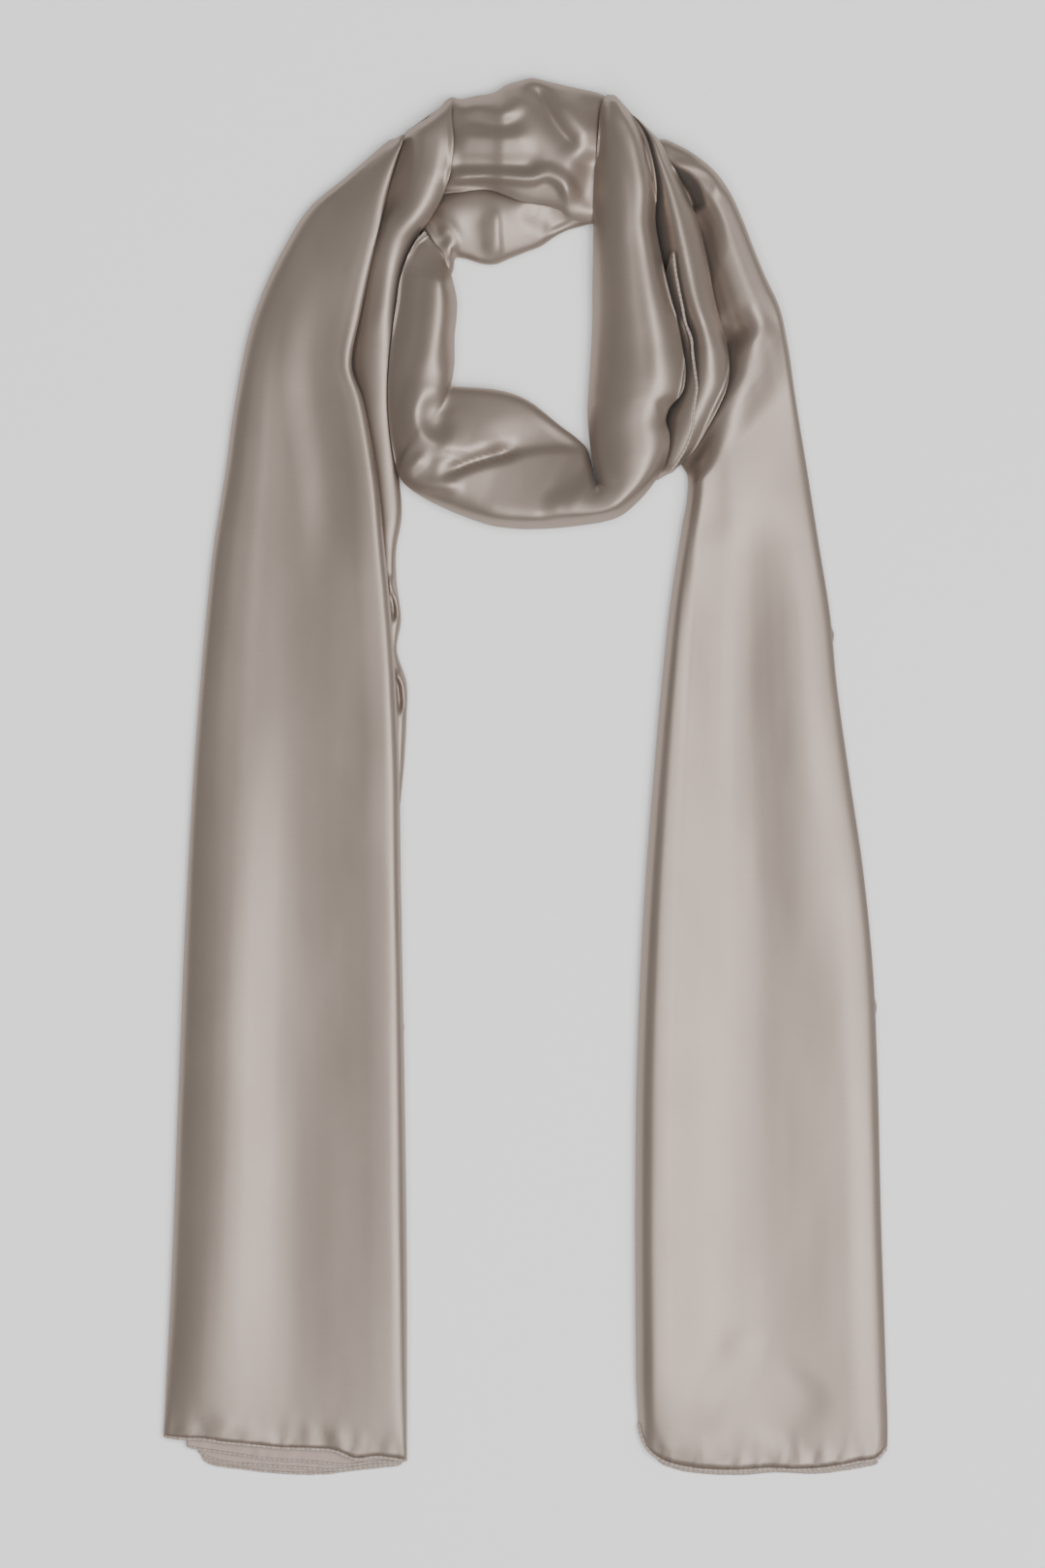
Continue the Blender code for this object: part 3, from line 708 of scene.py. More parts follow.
@dataclass
class Leaf:
    """An inner layer that shows at an end of the scarf: a ply with its own hem line."""

    name: str
    line: tuple                  # its hem line, left to right
    level: float                 # how high it lies
    seed: float
    depth: float = 46.0          # how far it reaches into the stack
    flutter: float = 0.5         # how far its hem rises and falls
    calm: float = 16.0           # how far from the hem it lies still
    narrowing: float = 1.2       # how far in its sides go behind the hem

    def lay(self) -> bpy.types.Object:
        """Adds the ply's piece."""
        line = smooth_path(self.line, PLY_STEP)
        rows = np.concatenate((np.linspace(0, 8, 9), np.linspace(9, self.depth, 16)))
        inset = np.clip(rows - 2, 0, 6) / 6 * self.narrowing
        middle = line[:, 0].mean()
        half = (line[:, 0].max() - line[:, 0].min()) / 2
        ripple = Ripple(self.flutter, 0.2, 0.05, self.seed)
        grid = []
        for depth, pull in zip(rows, inset):
            across = middle + (line[:, 0] - middle) * (1 - pull / half)
            lift = [ripple.at(x, depth) * math.exp(-depth / self.calm) for x in across]
            grid.append(np.column_stack((across, line[:, 1] + depth, self.level + np.array(lift))))
        grid = np.array(grid)
        self.edge = grid[0].copy()
        self.size = (float(run_lengths(line).sum()) * MM, self.depth * MM)
        piece = add_piece(self.name, grid, np.dstack((travelled(grid, 1), travelled(grid, 0))))
        give_wall(piece)
        return piece

    def dress(self, piece: bpy.types.Object, material: bpy.types.Material, hems: tuple,
              rests_on: str) -> None:
        """Args:
            piece: the ply's piece.
            material: its finish.
            hems: the pieces of its hems; not used.
            rests_on: the name of the stretch that holds it; not used.
        """
        dress_piece(piece, material)


@dataclass
class RolledHem:
    """The narrow rolled hem along an edge of the panel."""

    name: str
    seed: float
    width: float = 1.6
    height: float = 1.1
    sides: int = 10
    spacing: float = 0.9         # distance between two of its rings
    taper: float = 2.0           # how far from its ends it thins
    tip: float = 0.25            # its thickness at the very ends, as a share
    lowest: float = 0.05         # least height over the floor

    def lay(self, path: np.ndarray) -> bpy.types.Object:
        """Adds the hem's piece, rolled about a path.

        Args:
            path: the edge's points, left to right.

        Returns:
            The hem.
        """
        along = np.concatenate(([0.0], np.cumsum(np.linalg.norm(np.diff(path, axis=0), axis=1))))
        even = np.arange(0, along[-1], self.spacing)
        path = np.column_stack([np.interp(even, along, path[:, axis]) for axis in range(3)])
        heading = np.gradient(path, axis=0)
        heading /= np.linalg.norm(heading, axis=1)[:, None]
        sideways = np.column_stack((-heading[:, 1], heading[:, 0], np.zeros(len(path))))
        sideways /= np.linalg.norm(sideways, axis=1)[:, None]
        upward = np.cross(heading, sideways)
        swell = np.array([1 + HEM_SWELL.at(place, self.seed) for place in even])
        lift = np.array([HEM_LIFT.at(place, self.seed) for place in even])
        ends = ease(np.minimum(even, even[-1] - even) / self.taper) * (1 - self.tip) + self.tip
        rings = []
        for turn in np.linspace(0, 2 * np.pi, self.sides, endpoint=False):
            out = sideways * (math.cos(turn) * self.width / 2 * swell * ends)[:, None]
            up = upward * (math.sin(turn) * self.height / 2 * swell * ends)[:, None]
            rings.append(path + out + up + np.array([0, 0, 1]) * lift[:, None])
        rings = np.stack(rings, axis=1)
        rings[:, :, 2] = np.maximum(rings[:, :, 2], self.lowest)
        around = np.arange(self.sides + 1) / self.sides * math.pi * self.width
        flat = np.dstack(np.broadcast_arrays(around[None, :], even[:, None]))
        return add_piece(self.name, rings, flat, (True, True))


def socket(group: bpy.types.NodeTree, name: str, kind: str, out: bool, value: float = 0.0) -> None:
    """Adds a named input or output to a node group.

    Args:
        group: the node group.
        name: the socket's name.
        kind: its type.
        out: whether it is an output.
        value: what a number starts with.
    """
    made = group.interface.new_socket(name=name, in_out="OUTPUT" if out else "INPUT", socket_type=kind)
    if kind == "NodeSocketFloat":
        made.default_value = value


def math_node(tree: bpy.types.NodeTree, operation: str, first: object, second: object) -> object:
    """Adds a math node.

    Args:
        tree: the nodes that it joins.
        operation: what it works out.
        first: its first term, a socket or a number.
        second: its second term.

    Returns:
        Its result's socket.
    """
    node = tree.nodes.new("ShaderNodeMath")
    node.operation = operation
    for term, place in ((first, 0), (second, 1)):
        if isinstance(term, (int, float)):
            node.inputs[place].default_value = term
        else:
            tree.links.new(term, node.inputs[place])
    return node.outputs[0]


def weighted(tree: bpy.types.NodeTree, terms: tuple) -> object:
    """Adds up two sockets, each with its weight. Returns the sum's socket."""
    first, second = (math_node(tree, "MULTIPLY", term, weight) for term, weight in terms)
    return math_node(tree, "ADD", first, second)


def stretched_noise(tree: bpy.types.NodeTree, vector: object, scale: tuple, detail: float) -> object:
    """Adds a noise that is stretched.

    Args:
        tree: the nodes that it joins.
        vector: the place's socket.
        scale: how close it is in each direction.
        detail: how many finer layers it has.

    Returns:
        Its value's socket.
    """
    mapping = tree.nodes.new("ShaderNodeMapping")
    mapping.inputs["Scale"].default_value = (*scale, 1.0)
    texture = tree.nodes.new("ShaderNodeTexNoise")
    texture.inputs["Scale"].default_value = 1.0
    texture.inputs["Detail"].default_value = detail
    tree.links.new(vector, mapping.inputs["Vector"])
    tree.links.new(mapping.outputs[0], texture.inputs["Vector"])
    return texture.outputs[0]


def satin_weave_group() -> bpy.types.NodeTree:
    """Builds the weave: fine threads, thicker slubs across and slow mottling.

    Returns:
        The node group, with the weave's height, its shade and the mottling as outputs.
    """
    group = bpy.data.node_groups.new("Satin weave", "ShaderNodeTree")
    socket(group, "Cloth", "NodeSocketVector", False)
    socket(group, "Slub", "NodeSocketFloat", False, 0.5)
    for name in ("Height", "Shade", "Mottle"):
        socket(group, name, "NodeSocketFloat", True)
    inside = group.nodes.new("NodeGroupInput")
    outside = group.nodes.new("NodeGroupOutput")
    cloth = inside.outputs["Cloth"]
    threads = stretched_noise(group, cloth, (900.0, 3600.0), 1.0)
    slubs = stretched_noise(group, cloth, (70.0, 1500.0), 2.0)
    mottle = stretched_noise(group, cloth, (26.0, 17.0), 3.0)
    slub = math_node(group, "MULTIPLY", math_node(group, "SUBTRACT", slubs, 0.5), inside.outputs["Slub"])
    height = math_node(group, "ADD", math_node(group, "MULTIPLY", threads, 0.5), slub)
    shade = weighted(group, ((threads, 0.35), (slubs, 0.65)))
    for name, result in (("Height", height), ("Shade", shade), ("Mottle", mottle)):
        group.links.new(result, outside.inputs[name])
    return group


@dataclass(frozen=True)
class ClothFinish:
    """A cloth's finish: its colours, gloss and the strength of its weave."""

    name: str
    light: tuple
    deep: tuple
    roughness: float
    metallic: float
    specular: float
    sheen: float
    weave_height: float
    slub: float
    stitch_pitch: float = 0.0         # spacing of the hem's stitches, 0 where there are none
    stitch_shade: float = 0.35        # how much darker a stitch is
    stitch_depth: float = 1.2         # how deep it sinks, in heights of the weave
    weave_shade: float = 0.45         # share of the weave in the tint; the rest is mottling
    gloss_range: float = 0.1          # how far the mottling changes the roughness
    edge: tuple = (0.5, 0.45, 0.42)   # tint at a grazing look, darker than a plain metal's

    def make(self, weave: bpy.types.NodeTree) -> bpy.types.Material:
        """Builds the material.

        Args:
            weave: the weave's node group.

        Returns:
            The material.
        """
        material = bpy.data.materials.new(self.name)
        material.use_nodes = True
        tree = material.node_tree
        shader = tree.nodes["Principled BSDF"]
        uv = tree.nodes.new("ShaderNodeUVMap")
        uv.uv_map = "Cloth"
        pattern = tree.nodes.new("ShaderNodeGroup")
        pattern.node_tree = weave
        pattern.inputs["Slub"].default_value = self.slub
        tree.links.new(uv.outputs[0], pattern.inputs["Cloth"])
        shade, mottle = pattern.outputs["Shade"], pattern.outputs["Mottle"]
        mask = weighted(tree, ((shade, self.weave_shade), (mottle, 1 - self.weave_shade)))
        height = pattern.outputs["Height"]
        if self.stitch_pitch:
            stitch = self.stitches(tree, uv.outputs[0])
            mask = math_node(tree, "SUBTRACT", mask, math_node(tree, "MULTIPLY", stitch, self.stitch_shade))
            sunk = math_node(tree, "MULTIPLY", stitch, self.stitch_depth)
            height = math_node(tree, "SUBTRACT", height, sunk)
        colour = tree.nodes.new("ShaderNodeMix")
        colour.data_type = "RGBA"
        colour.inputs["A"].default_value = (*self.deep, 1.0)
        colour.inputs["B"].default_value = (*self.light, 1.0)
        tree.links.new(mask, colour.inputs["Factor"])
        tree.links.new(colour.outputs["Result"], shader.inputs["Base Color"])
        rough = math_node(tree, "ADD", math_node(tree, "MULTIPLY", mottle, self.gloss_range),
                          self.roughness - self.gloss_range / 2)
        tree.links.new(rough, shader.inputs["Roughness"])
        bump = tree.nodes.new("ShaderNodeBump")
        bump.inputs["Strength"].default_value = 0.5
        bump.inputs["Distance"].default_value = self.weave_height * MM
        tree.links.new(height, bump.inputs["Height"])
        tree.links.new(bump.outputs[0], shader.inputs["Normal"])
        for name, value in (("Metallic", self.metallic), ("Specular IOR Level", self.specular),
                            ("Specular Tint", (*self.edge, 1.0)), ("Sheen Weight", self.sheen),
                            ("Sheen Roughness", 0.5)):
            shader.inputs[name].default_value = value
        return material

    def stitches(self, tree: bpy.types.NodeTree, vector: object) -> object:
        """Adds a row of small sunk stitches along the hem.

        Args:
            tree: the material's nodes.
            vector: the socket of the place on the cloth.

        Returns:
            The socket of the stitches' mask.
        """
        split = tree.nodes.new("ShaderNodeSeparateXYZ")
        tree.links.new(vector, split.inputs[0])
        turns = math_node(tree, "MULTIPLY", split.outputs[1], 2 * math.pi / (self.stitch_pitch * MM))
        wave = math_node(tree, "SINE", turns, 0.0)
        return math_node(tree, "GREATER_THAN", wave, 0.55)


SATIN = ClothFinish(name="Taupe satin", light=(0.41, 0.337, 0.289), deep=(0.325, 0.264, 0.223),
                    roughness=0.45, metallic=0.84, specular=0.5, sheen=0.1, weave_height=0.05, slub=0.7)
DULL_SATIN = ClothFinish(name="Taupe satin, back", light=(0.42, 0.33, 0.285), deep=(0.31, 0.24, 0.205),
                         roughness=0.55, metallic=0.2, specular=0.4, sheen=0.2, weave_height=0.06, slub=0.8)
HEM = ClothFinish(name="Rolled hem", light=(0.52, 0.44, 0.39), deep=(0.26, 0.205, 0.175), roughness=0.5,
                  metallic=0.3, specular=0.5, sheen=0.2, weave_height=0.08, slub=0.6, stitch_pitch=2.6)

# Forms across the two tails: places from the left edge to the right one, and heights as shares of the crown
SHOULDER_FORM = ((0, 0), (0.05, 0.2), (0.12, 0.33), (0.2, 0.39), (0.3, 0.45), (0.5, 0.6), (0.7, 0.76),
                 (0.85, 0.87), (0.93, 0.88), (1, 0.25))
LEFT_UPPER_FORM = ((0, 0), (0.03, 0.22), (0.07, 0.35), (0.12, 0.44), (0.17, 0.47), (0.22, 0.48), (0.3, 0.45),
                   (0.4, 0.445), (0.5, 0.486), (0.6, 0.566), (0.7, 0.694), (0.8, 0.838), (0.88, 0.957),
                   (0.94, 0.985), (0.98, 0.82), (1, 0.38))
LEFT_TAIL_FORM = ((0, 0), (0.03, 0.35), (0.07, 0.61), (0.12, 0.8), (0.17, 0.91), (0.22, 0.95), (0.27, 0.91),
                  (0.33, 0.79), (0.39, 0.66), (0.45, 0.56), (0.52, 0.52), (0.6, 0.56), (0.7, 0.68),
                  (0.8, 0.83), (0.88, 0.95), (0.94, 0.99), (0.975, 0.86), (1, 0.3))
RIGHT_SHOULDER_TOP = ((0, 0), (0.4, -0.2), (0.6, -0.36), (0.7, -0.3), (0.78, 0.08), (0.84, 0.65),
                      (0.89, 1.0), (0.94, 0.85), (1, 0.38))
RIGHT_SHOULDER_FORM = ((0, 0), (0.4, -0.19), (0.5, -0.16), (0.6, 0.05), (0.7, 0.52), (0.79, 0.94),
                       (0.84, 1.0), (0.91, 0.8), (1, 0.25))
RIGHT_SHOULDER_LOW = ((0, 0), (0.15, 0.24), (0.35, 0.74), (0.5, 0.98), (0.56, 1.0), (0.7, 0.85),
                      (0.85, 0.47), (1, -0.1))
RIGHT_TAIL_TOP = ((0, 0), (0.03, 0.45), (0.08, 0.85), (0.14, 1.0), (0.22, 0.96), (0.4, 0.73), (0.6, 0.47),
                  (0.8, 0.2), (0.92, 0.03), (1, -0.1))
RIGHT_TAIL_EDGE = ((0, 0), (0.02, 0.45), (0.045, 0.8), (0.08, 0.96), (0.12, 0.93), (0.17, 0.8), (0.23, 0.62),
                   (0.3, 0.42), (0.36, 0.28))
RIGHT_TAIL_FORM = (*RIGHT_TAIL_EDGE, (0.42, 0.2), (0.5, 0.18), (0.58, 0.25), (0.66, 0.35), (0.74, 0.42),
                   (0.8, 0.42), (0.86, 0.35), (0.92, 0.22), (1, -0.05))
RIGHT_TAIL_LOW = (*RIGHT_TAIL_EDGE, (0.42, 0.19), (0.5, 0.15), (0.6, 0.19), (0.7, 0.26), (0.8, 0.34),
                  (0.87, 0.37), (0.93, 0.28), (1, -0.05))

# The ends' hem lines, left to right, seen from above
LEFT_TOP_HEM = ((-187, -340.3), (-178, -341.3), (-165, -341.8), (-156, -343.3), (-145, -344.3),
                (-126.5, -346.3), (-110.5, -346.8), (-98.5, -347.8), (-87.5, -352.0), (-77.5, -350.8),
                (-61.3, -352.8))
LEFT_LOW_HEM = ((-187, -341), (-168, -347), (-162.5, -354.3), (-146.5, -356.8), (-132, -358.8),
                (-104, -359.8), (-89.5, -357.8), (-76.5, -356.3), (-61.3, -354.8))
RIGHT_TOP_HEM = ((58, -332), (60.5, -342), (64, -348), (70, -352.5), (80, -355.8), (92, -357.6),
                 (108, -358.2), (126, -357.2), (142, -357.6), (156, -356.6), (172, -353.6),
                 (182, -351.5), (187, -345))
RIGHT_LOW_HEM = ((58, -333), (62, -345), (67, -352), (76, -356.5), (90, -359.3), (112, -360), (127, -358.8),
                 (152, -359.4), (166, -357.5), (183, -355), (187, -347))


def tail_left() -> Stretch:
    """Returns the left end of the scarf, up to where it turns behind the neck."""
    return Stretch(
        name="left_tail_cloth", nodes=("tail_left",), edges=3, roll=4.2, groove=1.4, grain=1.6, step=2.6,
        forms=((5, SHOULDER_FORM), (8, LEFT_UPPER_FORM), (10.5, LEFT_UPPER_FORM), (12.5, LEFT_TAIL_FORM)),
        finish=End.HEM, start_round=9,
        sections=(
            (-70, 329, -62, 330.5, 9, 16, 14), (-82.5, 318, -66.5, 317, 8, 19, 17),
            (-95.5, 307, -70.5, 303, 8, 20, 17), (-109, 296, -74, 288, 8, 20.5, 17),
            (-124, 274, -80, 262, 8, 20.5, 17), (-136, 249, -85, 238, 8, 20, 16.5),
            (-144, 224, -89.5, 212, 8, 19.5, 16), (-149.5, 195, -84, 195, 7.5, 18.5, 15),
            (-155, 156, -76.5, 156, 7, 18.3, 13.3), (-161, 118, -72.5, 118, 7, 18, 12),
            (-165, 80, -69, 80, 7, 17.5, 11.5), (-170, 20, -65.5, 20, 7, 16.5, 10.5),
            (-175, -64, -64, -64, 7, 15.5, 9), (-179.5, -174, -62, -174, 7, 15.5, 9),
            (-183, -264, -61, -264, 6.5, 15, 9), (-185.5, -312, -61, -314, 6, 12.5, 8.5),
            (-186.5, -331, -61, -335, 5.6, 10, 8), (-187, -338, -61, -343, 5.4, 8.5, 7.2),
        ),
        folds=(
            Fold(-1.4, 22, 18, ((-100, 262), (-106, 235), (-108, 200), (-102, 160), (-96, 100))),
        ),
        waves=(Waves(0.6, 46, 150, 2.0), Waves(0.06, 16, 44, 6.0)),
        nubs=((1, 471, 6, 1, 1.2),),
        hem_lines=(LEFT_TOP_HEM, LEFT_LOW_HEM, 48.0),
        rests_on=("left_tail_fold_cloth",),
    )


def tail_left_fold() -> Stretch:
    """Returns the second pleat of the left end, beside the first."""
    return Stretch(
        name="left_tail_fold_cloth", nodes=("tail_left_fold",), roll=3.4, groove=1.1, grain=1.2,
        step=1.8, start_round=7, finish_round=10,
        forms=((6, dome(0.59, 2.0, 2.7)), (9, dome(0.7, 1.7, 2.7)), (12, dome(0.5, 2.0, 2.4))),
        sections=(
            (-61, 334, -37.5, 349, 10, 15, 13), (-64, 329, -38, 342, 11, 20, 18),
            (-67, 320, -37, 329, 11, 22, 19), (-71, 309, -38, 313, 11, 22, 19),
            (-75, 297, -42, 300, 10, 21, 18), (-80, 283, -48.5, 288, 9, 20, 17),
            (-85, 270, -56.5, 277, 8, 17, 14), (-90, 254, -62, 263, 4, 15, 12),
            (-93, 236, -65, 239, 3, 14, 10), (-93, 214, -67, 216, 3, 12.5, 9),
            (-89, 190, -68, 190, 3, 11, 8), (-82, 160, -65.5, 158, 4, 10, 8),
            (-78, 132, -64, 132, 5.5, 9.5, 7.5), (-76, 118, -66.5, 118, 5.5, 8.5, 7),
            (-75, 101, -66.5, 101, 5.5, 8.5, 6.5), (-73, 80, -64.2, 80, 5.5, 8.5, 7),
            (-72, 66, -66.3, 66, 5, 7, 6), (-71, 48, -61.2, 48, 5, 8, 6.5),
            (-70, 30, -61.3, 30, 5, 8, 6.5), (-70, 10, -62.3, 10, 4.5, 7, 5.5),
            (-69, -14, -64.5, -14, 4, 5, 4.5),
        ),
        folds=(
            Fold(1.2, 12, 8, ((-41, 340), (-42, 326), (-46, 308), (-52, 295), (-59, 284), (-66, 275),
                              (-69, 262), (-72, 245), (-75, 225)), 0.15),
            Fold(-3.0, 9, 12, ((-60, 334), (-61, 318), (-66, 300), (-74, 284))),
            Fold(1.4, 3.5, 3.5, ((-70.5, 104), (-68, 95), (-66.8, 88))),
            Fold(-2.6, 4, 4, ((-69, 96), (-68, 88), (-68, 80)), 0.3, Form.CREASE),
            Fold(1.6, 3.5, 3.5, ((-67, 55), (-63.5, 48), (-62, 40))),
            Fold(-2.8, 4, 4, ((-66, 52), (-65, 42), (-64.5, 32)), 0.3, Form.CREASE),
        ),
        waves=(Waves(0.3, 18, 40, 4.0),),
        rests_on=("neck_band_cloth", "inner_band_cloth"),
    )


def neck_band() -> Stretch:
    """Returns the gathered stretch behind the neck."""
    return Stretch(
        name="neck_band_cloth", nodes=("neck_band",), edges=3, roll=4.5, groove=1.4, grain=1.2, step=1.3,
        forms=((0, dome(0.55, 2.6, 3.4)),), start_round=0, finish_round=0,
        sections=(
            (-46, 343, -48.5, 299, 8, 11, 8), (-38, 350.5, -39.5, 300.5, 10, 18, 12),
            (-34, 349.5, -34, 301, 10, 19, 13), (-25.5, 351, -26.5, 302, 11, 20, 14),
            (-15.5, 353, -17.5, 301.8, 11, 21, 15), (-10, 356.5, -11, 299.5, 11, 22, 16),
            (-3, 358.7, -3.5, 296.5, 11, 22, 16), (3.2, 360.3, 3.5, 294.8, 11, 22, 16),
            (9.5, 359, 10, 293.8, 11, 22, 16), (18.5, 356.8, 17.5, 291.5, 11, 22, 16),
            (28.5, 354.6, 23.5, 287, 11, 21, 15), (36, 353, 31, 285.5, 11, 19, 13),
            (46, 349, 43, 286, 10, 15, 11),
        ),
        folds=(
            Fold(1.7, 10, 8, ((-37, 350), (-30, 347), (-21, 344.5), (-12.7, 342), (-5, 345.5), (1, 354)),
                 0.2),
            Fold(-1.2, 7, 8, ((-36, 338), (-24, 336), (-12, 334.5), (0, 337))),
            Fold(1.5, 9, 10, ((-40, 329), (-22, 328), (-6, 328), (7, 330)), 0.25),
            Fold(-1.9, 8, 8, ((-42, 315), (-22, 314.5), (-4, 314), (10, 316)), 0.2),
            Fold(2.6, 8, 5, ((-42, 305), (-36, 307.5), (-25, 308.5), (-8.5, 308.3), (3.5, 307.5),
                             (11, 309.5), (18, 306), (22, 300), (25, 293)), 0.15),
            Fold(-3.6, 9, 13, ((3, 359), (7, 351), (12, 342), (18, 333), (24, 326), (29, 321)), 0.25,
                 Form.CREASE),
            Fold(1.6, 12, 13, ((16, 351), (23, 342), (30, 332), (35, 324))),
            Fold(-3.6, 7, 14, ((35, 324), (34.5, 308), (33.5, 290))),
        ),
        waves=(Waves(0.15, 18, 22, 11.0),),
        rests_on=("inner_band_cloth",),
    )


def inner_band() -> Stretch:
    """Returns the stretch that passes behind the neck a second time, below the first."""
    return Stretch(
        name="inner_band_cloth", nodes=("neck_inner_band",), roll=4.0, groove=1.3, grain=1.4,
        step=1.4, forms=((0, dome(0.4, 2.0, 2.0)),), start_round=0, finish_round=6,
        sections=(
            (52, 319, 52.5, 285, 9, 12, 8), (42, 317, 43.5, 285, 9, 12, 8),
            (34, 315, 34.3, 285.2, 8, 12, 8), (27, 311, 28, 283.6, 8, 12, 8),
            (20, 308, 21, 281.5, 8, 12, 8), (13, 307, 14.5, 278, 8, 12, 8), (6, 306, 8, 273.5, 8, 13, 8),
            (-1, 306, 1, 270.8, 8, 13, 8), (-10, 307, -8, 267.2, 8, 13.5, 8),
            (-17.5, 308, -15.5, 264.2, 8, 14, 8), (-26, 309, -23, 264.6, 8, 14, 8),
            (-35, 307, -31, 267.2, 8, 14, 8), (-43, 303, -36, 267.5, 8, 14, 8),
            (-51, 296, -37, 262, 8, 13, 8), (-58, 287, -40, 254, 7, 12, 8),
        ),
        folds=(
            Fold(1.3, 3, 9, ((-14.8, 294), (-14.3, 281), (-13.5, 266))),
            Fold(-0.8, 7, 10, ((-27, 292), (-26, 280), (-24, 266))),
            Fold(-2.2, 13, 12, ((0, 297), (9, 289), (19, 285), (28, 287))),
            Fold(-2.5, 12, 7, ((-54, 293), (-48, 286), (-43, 279), (-40, 272))),
            Fold(1.8, 5, 8, ((-46, 282), (-42.5, 281), (-39, 279), (-37.5, 272), (-37, 265)), 0.25),
        ),
        waves=(Waves(0.3, 14, 18, 15.0),),
    )


